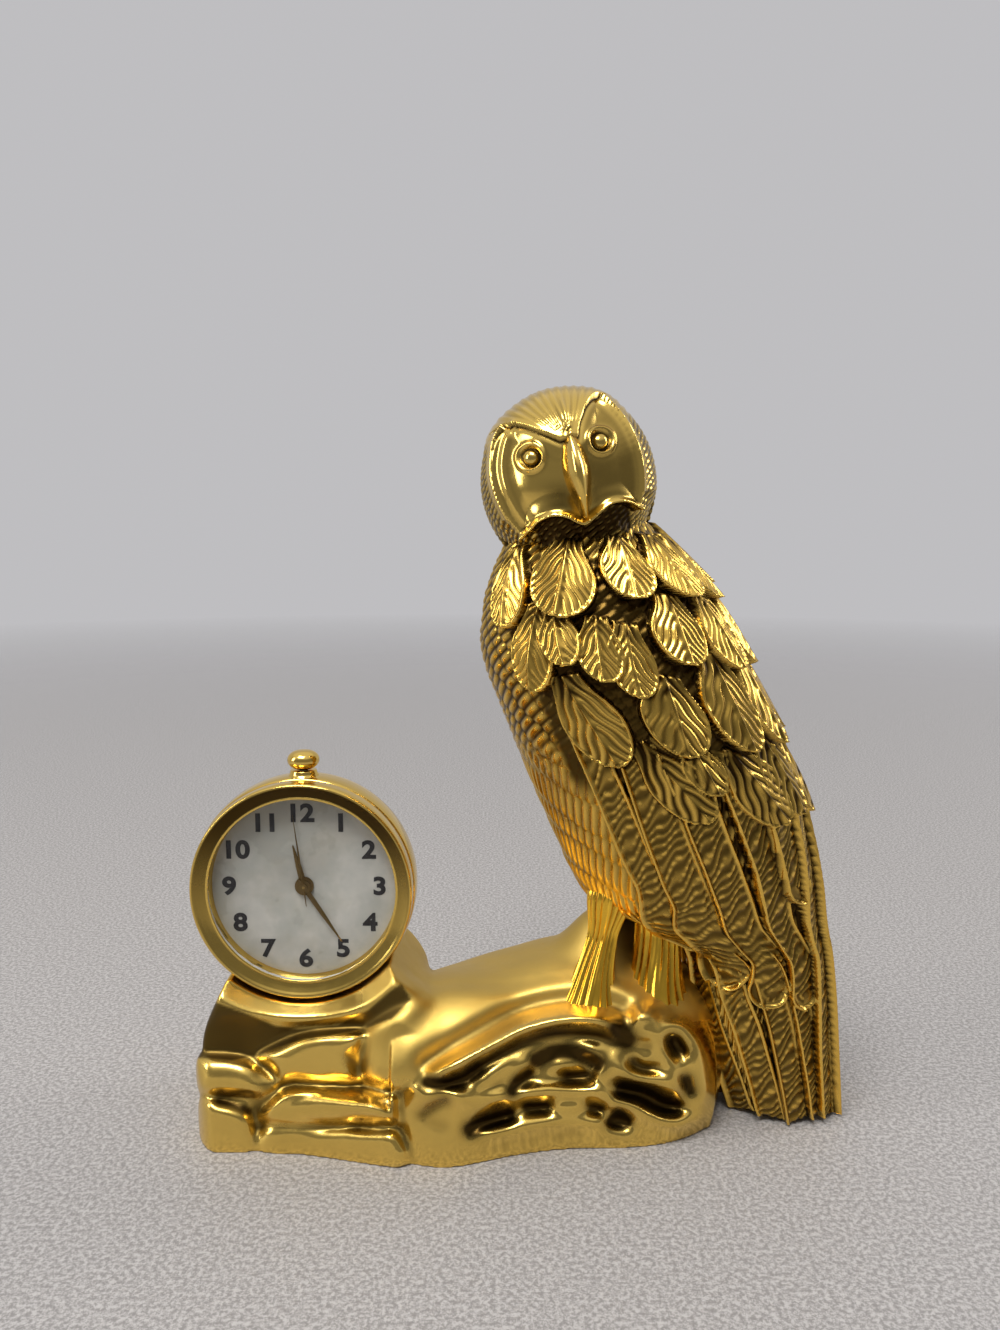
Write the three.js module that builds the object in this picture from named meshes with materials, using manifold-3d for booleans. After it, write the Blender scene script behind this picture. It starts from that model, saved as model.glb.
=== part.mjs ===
// Owl desk clock: a gold-plated owl on a rock base, with a small quartz clock standing in a cradle.
// Millimetres, +Z up, the front faces -Y, the origin is the middle of the underside of the bounding box.
import * as THREE from 'three';
import { mergeVertices } from 'three/addons/utils/BufferGeometryUtils.js';
import Module from 'manifold-3d';

const wasm = await Module();
wasm.setup();

// Clearances
const SEAT_GAP = 0.3; // owl casting in the base
const CRADLE_GAP = 0.12; // round case in its cradle
const FIT_GAP = 0.05; // pressed and stacked clock pieces
const RUN_GAP = 0.1; // turning pieces

// Round clock case; depths run backwards from the front plane of the bezel
const CASE_RADIUS = 11.4;
const CASE_DEPTH = 6.4;
const CASE_WALL = 1.1;
const CASE_BORE = CASE_RADIUS - CASE_WALL;
const CASE_EDGE = 0.9; // how far the rounded edges draw in
const BEZEL_DEPTH = 1.6;
const BEZEL_SKIRT = 0.6;
const BEZEL_REACH = 0.95; // how far the bezel covers the bore
const DIAL_OPENING = CASE_BORE - BEZEL_REACH;
const BEZEL_LIP = 0.15;
const BEZEL_SLOPE_WIDTH = 0.8;
const BEZEL_SLOPE_DEPTH = 0.6;
const CRYSTAL_THICKNESS = 0.7;
const GASKET_WIDTH = 0.25;
const DIAL_THICKNESS = 0.25;
const DIAL_HOLE = 0.95;
const CASE_BACK_THICKNESS = 0.7;
const ROUND_STEPS = 32;
const CLOCK_X = -22.4; // axis of the clock
const CLOCK_Z = 25.4;
const CLOCK_FRONT_Y = -6.2;

// Hands
const HAND_THICKNESS = 0.1;
const HOUR_HAND_LENGTH = 4.4;
const MINUTE_HAND_LENGTH = 6.9;
const SECOND_HAND_LENGTH = 7.6;
const SECOND_HAND_TAIL = 2.0;
const HOUR_HAND_WIDTH = 0.75;
const MINUTE_HAND_WIDTH = 0.6;
const SECOND_HAND_WIDTH = 0.18;
const HOUR_HAND_ANGLE = 346; // clockwise from twelve, degrees
const MINUTE_HAND_ANGLE = 147;
const SECOND_HAND_ANGLE = 353;

// Crown and stem, at twelve o'clock
const CROWN_RADIUS = 1.65;
const CROWN_HEIGHT = 1.9;
const CROWN_TUBE_RADIUS = 0.9;
const CROWN_TUBE_HEIGHT = 0.35; // above the case
const STEM_RADIUS = 0.35;
const STEM_DEPTH = 3.35; // axis of the stem behind the bezel front
const STEM_END = 4.5; // inner end of the stem, from the clock axis
const FLANGE_RADIUS = 0.6;
const FLANGE_THICKNESS = 0.2;
const GROOVE_HEIGHT = 6.5; // middle of the lever groove, from the clock axis
const GROOVE_WIDTH = 0.65;
const STEM_PINION_LENGTH = 0.9;
const STEM_PINION_HEIGHT = 5.3;

// Movement
const RING_WIDTH = 1.3; // room for the movement ring round the plate
const PLATE_RADIUS = CASE_BORE - RING_WIDTH;
const PLATE_THICKNESS = 0.35;
const BRIDGE_THICKNESS = 0.3;
const WHEEL_THICKNESS = 0.15;
const PINION_EXTRA = 0.03; // a pinion stands this far past its wheel on both sides
const ARBOR_RADIUS = 0.15;
const PIVOT_HOLE = 0.22;
const HOUR_PIPE = { inner: 0.62, outer: 0.78 };
const CANNON_PIPE = { inner: 0.3, outer: 0.5 };
const THIRD_DISTANCE = 3.3;
const THIRD_ANGLE = 140;
const INTERMEDIATE_DISTANCE = 3.3;
const INTERMEDIATE_ANGLE = -20;
const ROTOR_DISTANCE = 2.6; // from the intermediate wheel
const MINUTE_WHEEL_DISTANCE = 2.4;
const MINUTE_WHEEL_ANGLE = 60;
const TEETH = {
  rotorPinion: 6, intermediateWheel: 36, intermediatePinion: 6, fourthWheel: 30,
  fourthPinion: 6, thirdWheel: 45, thirdPinion: 6, centreWheel: 48,
  cannonPinion: 8, minuteWheel: 24, minutePinion: 6, hourWheel: 24,
};
const ROTOR_MAGNET_RADIUS = 0.8;
const ROTOR_MAGNET_HEIGHT = 0.6;
const STATOR_THICKNESS = 0.3;
const STATOR_BORE = 1.1;
const COIL_ANGLE = -62; // direction of the coil's middle from the clock axis
const COIL_DISTANCE = PLATE_RADIUS - 2.5;
const COIL_CORE = { length: 8.2, width: 1.0, height: 0.4 };
const COIL_WINDING = { length: 5.0, radius: 0.8 };
const BATTERY_RADIUS = 2.9;
const BATTERY_HEIGHT = 1.6;
const BATTERY_ANGLE = 215;
const BATTERY_DISTANCE = PLATE_RADIUS - BATTERY_RADIUS - RUN_GAP;
const STRAP_THICKNESS = 0.1;
const STRAP_WIDTH = 1.4;
const BOARD = { inner: PLATE_RADIUS - 3.6, outer: PLATE_RADIUS - 0.4, from: 14, to: 54, thickness: 0.2 };
const QUARTZ_CAN = { radius: 0.55, length: 4.2, distance: PLATE_RADIUS - 1.25, angle: 34 };
const PILLARS = [[2.0, 4.9], [-6.3, 1.4], [6.7, 0.3]];
const PILLAR_RADIUS = 0.6;
const BRIDGE_SCREW = { head: 0.5, headHeight: 0.2, shank: 0.28, length: 0.9 };
const LEVER_PIVOT = [-2.2, 6.5];
const LEVER_THICKNESS = 0.15;
const LEVER_WIDTH = 0.35;
const LEVER_HUB = 0.5;

// Fixing of the clock in its cradle
const FOOT = { width: 4.0, depth: 2.8, height: 1.7 };
const CLOCK_SCREW = { head: 1.5, headHeight: 0.9, shank: 0.7, length: 10.2 };
const OWL_SCREW = { head: 2.2, headHeight: 1.3, shank: 1.2, length: 15.5 };
const SCREW_BITE = 1.0; // thread in the clock's foot
const OWL_BITE = 3.0; // thread in the owl's leg
const OWL_SCREW_AT = [6.9, -3.9]; // in the near leg

// Rock base: stations along X with the front edge, back edge and top of the mound
const ROCK_STATIONS = [
  { x: -33.3, front: -5.9, back: 6.2, top: 8.6 },
  { x: -29.0, front: -7.0, back: 6.9, top: 8.8 },
  { x: -25.4, front: -7.9, back: 7.4, top: 9.0 },
  { x: -19.4, front: -9.1, back: 8.2, top: 9.8 },
  { x: -14.5, front: -10.3, back: 9.0, top: 11.2 },
  { x: -9.7, front: -11.7, back: 10.2, top: 13.1 },
  { x: -7.0, front: -11.8, back: 10.7, top: 13.9 },
  { x: -4.4, front: -11.1, back: 11.2, top: 14.8 },
  { x: -1.5, front: -10.1, back: 11.5, top: 15.6 },
  { x: 3.5, front: -9.0, back: 11.8, top: 16.8 },
  { x: 7.5, front: -8.8, back: 11.6, top: 17.2 },
  { x: 12.0, front: -8.5, back: 10.6, top: 16.2 },
  { x: 15.7, front: -7.3, back: 9.0, top: 13.8 },
  { x: 18.7, front: -4.8, back: 6.2, top: 9.4 },
];
const ROCK_SQUARENESS = 2.9; // 2 is an ellipse, more is boxier
const ROCK_RINGS = 48;
const FRONT_LEVELS = [0, 0.07, 0.15, 0.23, 0.31, 0.39, 0.47, 0.55, 0.63, 0.71, 0.79, 0.87, 0.94, 0.98];
const BACK_LEVELS = [0.94, 0.75, 0.5, 0.25, 0];
const CRADLE = { left: -32.8, right: -10.4, front: -8.4, back: 5.6, round: 2.4 };
// The cradle's shoulders slope down to both sides
const CRADLE_TOPS = [
  { x: -33.3, top: 9.7 },
  { x: -30.2, top: 16.2 },
  { x: -28.6, top: 18.4 },
  { x: -14.0, top: 18.4 },
  { x: -10.4, top: 14.6 },
];
const COVE = { right: -14.6, depth: 1.2, z: 10.2, half: 3.6, run: 1.5 };
const SADDLE_FLARE = 1.9; // how far the saddle widens towards its front edge
// Swells that carry the legs and end the rock at the tail
const SWELLS = [
  { at: [-9.0, -3.4, 8.0], size: [8.2, 7.0, 6.4], tilt: 12 },
  { at: [8.5, 1.6, 11.6], size: [5.4, 4.6, 8.6], tilt: 0 },
  { at: [13.4, 0.4, 9.6], size: [4.6, 6.6, 5.6], tilt: 12 },
  { at: [15.4, 0.5, 6.0], size: [4.2, 8.0, 8.8], tilt: 0 },
];
// Relief of the front, as places (x, z) on it
// Rocks under the cradle and the sheet of the hill: outline and height
const SHEETS = [
  { outline: [[-35, 10.5], [-30.6, 10.3], [-27.4, 9.6], [-25, 8.1], [-25.5, 6.6], [-35, 6.2]], rise: 0.9 },
  { outline: [[-35, 5.9], [-30.4, 5.6], [-27, 5.2], [-26, 3.4], [-25.7, -3], [-35, -3]], rise: 0.8 },
  { outline: [[-26.8, 9.2], [-20.8, 12.2], [-15.8, 13.5], [-15.2, 9], [-16.7, 7.4], [-23.2, 7.7]], rise: 2 },
  { outline: [[-26.2, 4.4], [-23.4, 7.7], [-13.3, 6.5], [-12.4, 4.8], [-12.9, 3], [-24.6, 2.6]], rise: 1.8 },
  { outline: [[-25.6, 2.9], [-16.6, 3.1], [-13.2, 2], [-12.4, -3], [-25.6, -3]], rise: 1.2 },
  { outline: [[-16.4, 7.4], [-15.4, 13.4], [-11, 16], [-3, 21], [12, 21], [9, 13.6], [4, 13.6], [-2, 11.6],
    [-10, 8], [-13.4, 6]], rise: 1.6 },
];
const SHEET_EDGE = 0.6; // how quickly a sheet rises from its outline
// Worn ridges: the branch, the second arch, the ring and the bars round the pits
const CRESTS = [
  { path: [[-10.4, 7.4], [-5.4, 10.7], [1.4, 14], [6.3, 15.1], [10.2, 13.8], [11, 12.4]], half: 1.1, rise: 1.6 },
  { path: [[-6.4, 7], [-1.5, 10], [3.3, 12.8], [7.8, 12.6], [8.8, 9.4]], half: 0.9, rise: 0.7 },
  { path: [[-1.9, 6], [0.3, 9.3], [4.6, 10.5], [7.6, 8.6], [7.2, 7]], half: 0.75, rise: 0.9 },
  { path: [[-4.8, 5.4], [0.8, 6.2], [7.4, 6.1], [8.6, 5.2]], half: 0.75, rise: 0.8 },
  { path: [[-10.2, 5], [-7, 6], [-5.8, 4.8]], half: 0.9, rise: 0.9 },
  { path: [[-6.2, 2.4], [0, 2.6], [6.6, 3], [8.2, 1.9]], half: 0.8, rise: 0.7 },
  { path: [[8.6, 5.2], [12.2, 3.8], [16.8, 3.6]], half: 0.75, rise: 0.8 },
  { path: [[8.8, 9.4], [12, 7.6], [15.4, 6]], half: 0.75, rise: 0.8 },
  { path: [[12.8, 12.6], [16.6, 10.4], [17.4, 4.4]], half: 0.85, rise: 0.8 },
];
const PITS = [
  { path: [[-9.2, 7], [-5.2, 8.7]], half: 0.7, rise: -1.0 },
  { path: [[-4.8, 3.2], [-1.8, 4.2]], half: 0.75, rise: -1.3 },
  { path: [[0.2, 4.7], [2, 4.8]], half: 0.65, rise: -1.1 },
  { path: [[1.8, 9.9], [3.2, 11.2], [7, 11]], half: 0.65, rise: -0.9 },
  { path: [[4.2, 7.9], [6, 8.1]], half: 0.7, rise: -1.0 },
  { path: [[8.6, 3.1], [10, 3]], half: 0.65, rise: -1.2 },
  { path: [[9.8, 6.5], [14.6, 4.9]], half: 0.8, rise: -1.4 },
  { path: [[10.6, 9.5], [12.2, 8.8]], half: 0.65, rise: -0.9 },
  { path: [[9.2, 12.9], [9.8, 11.8]], half: 0.85, rise: -1.2 },
  { path: [[-30.4, 6], [-26.6, 5]], half: 0.6, rise: -0.6 },
];
const RELIEF_FROM = 3.6; // the relief fades in between these distances in front of the middle plane
const RELIEF_FULL = 6.8;
const TOP_SHARES = [0.3, 0.65]; // places of the points between the front and back rims of the top

// Owl body: stations up the body, breast edge and back edge along X, half width along Y
const OWL_Y = 0.4;
const OWL_FOOT = 0.3; // underside of the tail above the table
const BODY_STATIONS = [
  { z: OWL_FOOT, breast: 21.9, back: 34.2, half: 5.2 },
  { z: 4.0, breast: 20.6, back: 33.9, half: 5.7 },
  { z: 9.0, breast: 18.9, back: 33.3, half: 6.3 },
  { z: 14.0, breast: 17.8, back: 32.6, half: 6.8 },
  { z: 18.4, breast: 16.4, back: 31.8, half: 7.3 },
  { z: 20.4, breast: 12.0, back: 31.4, half: 7.6 },
  { z: 22.4, breast: 7.4, back: 31.1, half: 8.1 },
  { z: 25.0, breast: 5.2, back: 30.7, half: 8.8 },
  { z: 30.0, breast: 2.9, back: 29.6, half: 10.0 },
  { z: 36.0, breast: 0.3, back: 27.9, half: 10.9 },
  { z: 43.0, breast: -2.5, back: 24.8, half: 11.4 },
  { z: 49.0, breast: -4.6, back: 21.9, half: 11.1 },
  { z: 54.5, breast: -4.3, back: 19.0, half: 9.9 },
  { z: 59.0, breast: -2.7, back: 15.4, half: 8.2 },
  { z: 62.5, breast: -0.6, back: 12.2, half: 6.2 },
];
const BODY_STEPS = 22;
const SEAT_Z = 15.0; // underside of the legs
const LEG_TOP = 26;
// Legs: foot and top as x and y, radius above the spread foot
const LEGS = [
  { foot: [6.4, -3.9], top: [8.7, -3.2], radius: 1.5 },
  { foot: [13.4, -2.4], top: [13.8, -0.6], radius: 1.9 },
];
const LEG_SPREAD = 1.7; // how much wider the foot is than the leg
const LEG_SLIM = 3.6; // how quickly the spread of the foot fades upwards
const LEG_FLUTE = 0.14; // depth of the flutes
const LEG_STEPS = 20;
const LEG_RINGS = 6;

// Feathers of one wing: middle line as angle round the body (0 faces the side) and height, and width
const COVERTS = [
  { path: [[52, 42], [58, 33.4]], width: 6.2 },
  { path: [[30, 40.6], [44, 33]], width: 6.4 },
  { path: [[-4, 41.6], [9, 34]], width: 5.9 },
  { path: [[76, 42], [82, 32.6]], width: 6.0 },
  { path: [[66, 50], [66, 40.4]], width: 6.0 },
  { path: [[-25, 47.6], [-16, 39.4]], width: 6.3 },
  { path: [[15, 47.8], [10, 40.4]], width: 6.2 },
  { path: [[42, 49.6], [39, 40.4]], width: 6.2 },
  { path: [[-32, 54], [-39, 46.2]], width: 4.4 },
  { path: [[-6, 53.2], [-8, 47.4]], width: 4.4 },
  { path: [[6, 52.6], [2, 46]], width: 4.6 },
  { path: [[30, 55.2], [27, 48.8]], width: 5.4 },
  { path: [[54, 55], [56, 48]], width: 5.2 },
  { path: [[78, 56], [80, 48]], width: 5.2 },
  { path: [[-52, 59.6], [-47, 52]], width: 4.2 },
  { path: [[-15, 60.4], [-22, 53.3]], width: 6.0 },
  { path: [[18, 60.6], [12, 55]], width: 4.9 },
  { path: [[46, 60.8], [44, 55]], width: 5.4 },
  { path: [[72, 60.8], [70, 54.6]], width: 5.2 },
];
const COVERT_LIFT = 0.8; // height of a covert's tip over the body
// Long feathers of the wing and of the tail, each with its left edge over the one before it
const FLIGHTS = [
  { path: [[-25, 36], [-24, 30], [-22, 26], [-30, 21.8], [-42, 20.2]], width: 3.2 },
  { path: [[-9, 34], [-8, 28], [-7, 24], [-18, 20.2], [-36, 17.6]], width: 4.4 },
  { path: [[8, 34], [10, 28], [11, 23], [4, 18.8], [-4, 16]], width: 4.0 },
  { path: [[29, 34], [31, 27], [30, 21], [27, 17.8], [24, 15.4]], width: 3.8 },
  { path: [[64, 33], [58, 24], [49, 17], [42, 10], [37, 1.4]], width: 3.2 },
  { path: [[82, 33], [78, 24], [70, 17], [64, 10], [60, 1.4]], width: 3.2 },
];
const TAIL = [
  { path: [[-66, 18], [-62, 13], [-54, 7], [-50, 1.2]], width: 2.8 },
  { path: [[-36, 18], [-30, 14], [-22, 9], [-19, 1.2]], width: 2.9 },
  { path: [[-6, 18], [0, 14], [4, 9], [6, 1.2]], width: 2.9 },
  { path: [[18, 18], [22, 14], [24, 9], [26, 1.2]], width: 2.6 },
];
const FLIGHT_LIFT = 0.75;
const TAIL_LIFT = 0.4;
const FEATHER_ROOT = -0.5; // depth of a feather's root in the body
const FEATHER_BED = 0.55; // how far a feather reaches below its root
const FEATHER_SKEW = 0.8; // share of the height that the ends of a sloping feather's cross line differ by
const RIB_LIFT = 0.16; // how far the middle rib of a feather stands up
const BLADE_FALL = 0.55; // share of its lift that a long feather loses from its left edge to its right one
const BLADE_PROFILE = [[0, 0.8], [0.25, 0.9], [0.5, 1], [0.75, 1], [0.92, 0.85], [1, 0.3]];
const LEAF_PROFILE = [[0, 0.5], [0.36, 1.0], [0.76, 0.9], [1, 0.14]];

// Owl head: the face looks forward and is rolled to the owl's left
const HEAD_AT = [4.3, -0.8, 65.9];
const HEAD_HALF = { width: 8.75, height: 9.4, front: 8.2, back: 8.6 };
const HEAD_ROLL = 11.5;
const HEAD_STEPS = 28;
const EYE = { across: 3.7, up: 3.1, ring: 1.25, bead: 0.3, dome: 0.72 };
const BEAK = { top: 3.6, tip: -3.3, half: 1.0, stand: 1.5 };
const DISC = { half: 6.9, lower: -4.6, upper: 6.2, dish: 0.5, rim: 0.45, rimWidth: 0.55 };
const BROW = { across: 6.0, up: 6.2, height: 0.5, width: 0.8 };

// Finishes
const gold = () => new THREE.MeshStandardMaterial({ color: 0xd9a441, roughness: 0.22, metalness: 1 });
const darkGold = () => new THREE.MeshStandardMaterial({ color: 0x8a6428, roughness: 0.3, metalness: 1 });
const brass = () => new THREE.MeshStandardMaterial({ color: 0xc9a75a, roughness: 0.35, metalness: 1 });
const steel = () => new THREE.MeshStandardMaterial({ color: 0xb8bcc0, roughness: 0.3, metalness: 1 });
const copper = () => new THREE.MeshStandardMaterial({ color: 0xb06a38, roughness: 0.45, metalness: 0.8 });
const glass = () => new THREE.MeshStandardMaterial({
  color: 0xf4f8f8, roughness: 0.03, metalness: 0, transparent: true, opacity: 0.2,
});
const pearl = () => new THREE.MeshStandardMaterial({ color: 0xe9ebe4, roughness: 0.25, metalness: 0 });
const plastic = (color) => new THREE.MeshStandardMaterial({ color, roughness: 0.5, metalness: 0 });

const radians = THREE.MathUtils.degToRad;

// Basic solids

// One closed geometry with shared vertices and its faces pointing out.
function closed(geometry) {
  const bare = geometry.index ? geometry.clone() : mergeVertices(geometry);
  bare.deleteAttribute('normal');
  bare.deleteAttribute('uv');
  const merged = mergeVertices(bare, 1e-4);
  const position = merged.attributes.position;
  const index = Array.from(merged.index.array);
  const kept = [];
  let volume = 0;
  const a = new THREE.Vector3();
  const b = new THREE.Vector3();
  const c = new THREE.Vector3();
  for (let i = 0; i < index.length; i += 3) {
    const [p, q, r] = [index[i], index[i + 1], index[i + 2]];
    if (p === q || q === r || p === r) continue;
    kept.push(p, q, r);
    a.fromBufferAttribute(position, p);
    b.fromBufferAttribute(position, q);
    c.fromBufferAttribute(position, r);
    volume += a.dot(b.cross(c));
  }
  if (volume < 0) kept.reverse();
  merged.setIndex(kept);
  return merged;
}

function solid(geometry) {
  const source = closed(geometry);
  return new wasm.Manifold(new wasm.Mesh({
    numProp: 3,
    vertProperties: Float32Array.from(source.attributes.position.array),
    triVerts: Uint32Array.from(source.index.array),
  }));
}

function geometryOf(body) {
  const mesh = body.getMesh();
  const geometry = new THREE.BufferGeometry();
  geometry.setAttribute('position', new THREE.BufferAttribute(Float32Array.from(mesh.vertProperties), 3));
  geometry.setIndex(Array.from(mesh.triVerts));
  return geometry;
}

const united = (solids) => solids.reduce((sum, next) => sum.add(next));

function named(name, shape, material) {
  const geometry = shape.getMesh ? geometryOf(shape) : closed(shape);
  geometry.computeVertexNormals();
  const mesh = new THREE.Mesh(geometry, material);
  mesh.name = name;
  return mesh;
}

// A profile of [radius, z] points turned about Z; it closes on itself unless it starts on the axis.
function turned(profile, steps = ROUND_STEPS) {
  const points = profile.map(([r, z]) => new THREE.Vector2(r, z));
  const onAxis = profile[0][0] === 0 && profile[profile.length - 1][0] === 0;
  if (!onAxis) points.push(points[0].clone());
  return new THREE.LatheGeometry(points, steps).rotateX(Math.PI / 2);
}

const disc = (radius, z0, z1, steps) => turned([[0, z0], [radius, z0], [radius, z1], [0, z1]], steps);
const tube = (inner, outer, z0, z1, steps) => turned(
  [[inner, z0], [outer, z0], [outer, z1], [inner, z1]], steps,
);

function box(x0, x1, y0, y1, z0, z1) {
  const geometry = new THREE.BoxGeometry(x1 - x0, y1 - y0, z1 - z0);
  return geometry.translate((x0 + x1) / 2, (y0 + y1) / 2, (z0 + z1) / 2);
}

function plate(shape, z0, z1) {
  const geometry = new THREE.ExtrudeGeometry(shape, { depth: z1 - z0, bevelEnabled: false, curveSegments: 8 });
  return geometry.translate(0, 0, z0);
}

function polygon(points) {
  return new THREE.Shape(points.map(([x, y]) => new THREE.Vector2(x, y)));
}

function ellipsoid({ at, size, tilt }, across = 16, down = 10) {
  const geometry = new THREE.SphereGeometry(1, across, down).scale(...size);
  return geometry.rotateY(-radians(tilt)).translate(...at);
}

// Rings of points joined into one closed skin, with both ends capped.
function skin(rings) {
  const count = rings[0].length;
  const positions = rings.flat().flatMap((p) => [p.x, p.y, p.z]);
  const indices = [];
  for (let ring = 0; ring + 1 < rings.length; ring += 1) {
    for (let k = 0; k < count; k += 1) {
      const a = ring * count + k;
      const b = ring * count + ((k + 1) % count);
      indices.push(a, b, b + count, a, b + count, a + count);
    }
  }
  [0, rings.length - 1].forEach((ring) => {
    const middle = rings[ring].reduce((sum, p) => sum.add(p), new THREE.Vector3()).divideScalar(count);
    const centre = positions.length / 3;
    positions.push(middle.x, middle.y, middle.z);
    for (let k = 0; k < count; k += 1) {
      const a = ring * count + k;
      const b = ring * count + ((k + 1) % count);
      indices.push(...(ring === 0 ? [centre, b, a] : [centre, a, b]));
    }
  });
  const geometry = new THREE.BufferGeometry();
  geometry.setAttribute('position', new THREE.Float32BufferAttribute(positions, 3));
  geometry.setIndex(indices);
  return geometry;
}

// A smooth curve through evenly used stations: value of one key at a height or length.
function along(stations, key, value, t) {
  const last = stations.length - 1;
  let i = stations.findIndex((station) => station[key] >= t);
  if (i < 0) i = last;
  if (i === 0) i = 1;
  const [p0, p1] = [stations[i - 1], stations[i]];
  const before = stations[Math.max(i - 2, 0)];
  const after = stations[Math.min(i + 1, last)];
  const span = p1[key] - p0[key];
  const f = THREE.MathUtils.clamp((t - p0[key]) / span, 0, 1);
  const m0 = ((p1[value] - before[value]) / (p1[key] - before[key])) * span;
  const m1 = ((after[value] - p0[value]) / (after[key] - p0[key])) * span;
  const f2 = f * f;
  const f3 = f2 * f;
  return (2 * f3 - 3 * f2 + 1) * p0[value] + (f3 - 2 * f2 + f) * m0
    + (3 * f2 - 2 * f3) * p1[value] + (f3 - f2) * m1;
}

// Owl

// Point on the body at an angle round it (0 faces -Y, 90 the back) and a height, lifted off the surface.
function bodyPoint(degrees, z, lift = 0, side = 1) {
  const breast = along(BODY_STATIONS, 'z', 'breast', z);
  const back = along(BODY_STATIONS, 'z', 'back', z);
  const halfLength = (back - breast) / 2 + lift;
  const halfWidth = along(BODY_STATIONS, 'z', 'half', z) + lift;
  const angle = radians(degrees);
  const x = (breast + back) / 2 + halfLength * Math.sin(angle);
  return new THREE.Vector3(x, OWL_Y - side * halfWidth * Math.cos(angle), z);
}

function bodySkin(grow, from = BODY_STATIONS[0].z - grow) {
  const rings = BODY_STATIONS.map(({ z }, i) => {
    const ring = [];
    for (let k = 0; k < BODY_STEPS; k += 1) {
      const point = bodyPoint((360 * k) / BODY_STEPS, z, grow);
      if (i === 0) point.z = from;
      ring.push(point);
    }
    return ring;
  });
  return skin(rings);
}

// One feather along its middle line: it rises from its root to its tip. A leaf stands on its middle rib,
// a blade falls from its left edge to its right one.
function feather({ path, width }, profile, lift, side) {
  const curve = new THREE.SplineCurve(path.map((place) => new THREE.Vector2(...place)));
  const fall = profile === BLADE_PROFILE ? BLADE_FALL : 0;
  const rib = profile === LEAF_PROFILE ? RIB_LIFT : 0;
  const rings = profile.map(([u, share]) => {
    const { x: degrees, y: z } = curve.getPoint(u);
    const way = curve.getTangent(u);
    const girth = bodyPoint(degrees, z).distanceTo(bodyPoint(degrees + 1, z));
    const lean = way.x * girth;
    const length = Math.hypot(lean, way.y);
    const half = (width / 2) * share;
    const place = (v, rise) => {
      const at = degrees + (v * half * Math.abs(way.y)) / length / girth;
      const height = Math.max(z + ((v * half * lean) / length) * FEATHER_SKEW, OWL_FOOT);
      return bodyPoint(at, height, rise, side);
    };
    const top = (v) => FEATHER_ROOT + (lift * (1 - (fall * (v + 1)) / 2) - FEATHER_ROOT) * Math.sqrt(u);
    const bed = FEATHER_ROOT - FEATHER_BED;
    return [place(-1, top(-1)), place(0, top(0) + rib), place(1, top(1)), place(1, bed), place(-1, bed)];
  });
  return skin(rings);
}

// Leg with a spread foot and flutes all round.
function leg({ foot, top, radius }, grow) {
  const rings = [];
  for (let i = 0; i < LEG_RINGS; i += 1) {
    const f = i / (LEG_RINGS - 1);
    const x = foot[0] + (top[0] - foot[0]) * f;
    const y = foot[1] + (top[1] - foot[1]) * f;
    const z = SEAT_Z + (LEG_TOP - SEAT_Z) * f - (i === 0 ? grow : 0);
    const around = radius + LEG_SPREAD * Math.exp(-LEG_SLIM * f) + grow;
    const ring = [];
    for (let k = 0; k < LEG_STEPS; k += 1) {
      const angle = (2 * Math.PI * k) / LEG_STEPS;
      const out = around - (grow === 0 && k % 2 ? LEG_FLUTE : 0);
      ring.push(new THREE.Vector3(x + out * Math.cos(angle), y + out * Math.sin(angle), z));
    }
    rings.push(ring);
  }
  return skin(rings);
}

// Height of the face over the plain skull at a place on it, both in the rolled frame of the head.
function faceRelief(x, y) {
  const across = Math.abs(x);
  const lobe = DISC.lower + 0.9 * Math.cos((Math.PI * across) / 3.6);
  const roof = DISC.upper * (0.58 + 0.42 * Math.min(across / 4, 1));
  const side = DISC.half - across;
  const inside = Math.min(side, y - lobe, roof - y);
  const dish = -DISC.dish * THREE.MathUtils.smoothstep(inside, 0, 1.4);
  const rim = DISC.rim * Math.exp(-((inside / DISC.rimWidth) ** 2));
  const browLine = BEAK.top + (BROW.up - BEAK.top) * (across / BROW.across);
  const brow = across < BROW.across ? BROW.height * Math.exp(-(((y - browLine) / BROW.width) ** 2)) : 0;
  return dish + Math.max(rim, brow);
}

function headFrame(geometry) {
  return geometry.rotateZ(radians(HEAD_ROLL)).rotateX(Math.PI / 2).translate(...HEAD_AT);
}

const faceDepth = (x, y) => HEAD_HALF.front
  * Math.sqrt(Math.max(0, 1 - (x / HEAD_HALF.width) ** 2 - (y / HEAD_HALF.height) ** 2));

function skull() {
  const rings = [];
  const latitudes = [8, 20, 31, 41, 50, 59, 69, 80, 98, 118, 140, 165];
  latitudes.forEach((latitude) => {
    const ring = [];
    const out = Math.sin(radians(latitude));
    for (let k = 0; k < HEAD_STEPS; k += 1) {
      const angle = (2 * Math.PI * k) / HEAD_STEPS;
      const x = HEAD_HALF.width * out * Math.cos(angle);
      const y = HEAD_HALF.height * out * Math.sin(angle);
      const depth = latitude <= 90 ? HEAD_HALF.front : HEAD_HALF.back;
      const relief = latitude < 80 ? faceRelief(x, y) : 0;
      ring.push(new THREE.Vector3(x, y, depth * Math.cos(radians(latitude)) + relief));
    }
    rings.push(ring);
  });
  return skin(rings);
}

function eyes() {
  return [-1, 1].flatMap((side) => {
    const x = side * EYE.across;
    const z = faceDepth(x, EYE.up) + faceRelief(x, EYE.up);
    const ring = new THREE.TorusGeometry(EYE.ring, EYE.bead, 5, 14);
    const dome = new THREE.SphereGeometry(EYE.dome, 10, 6).scale(1, 1, 0.8);
    const outward = Math.atan2(x, HEAD_HALF.front * 1.6);
    return [ring, dome].map((piece) => piece.rotateY(outward).translate(x, EYE.up, z));
  });
}

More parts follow.
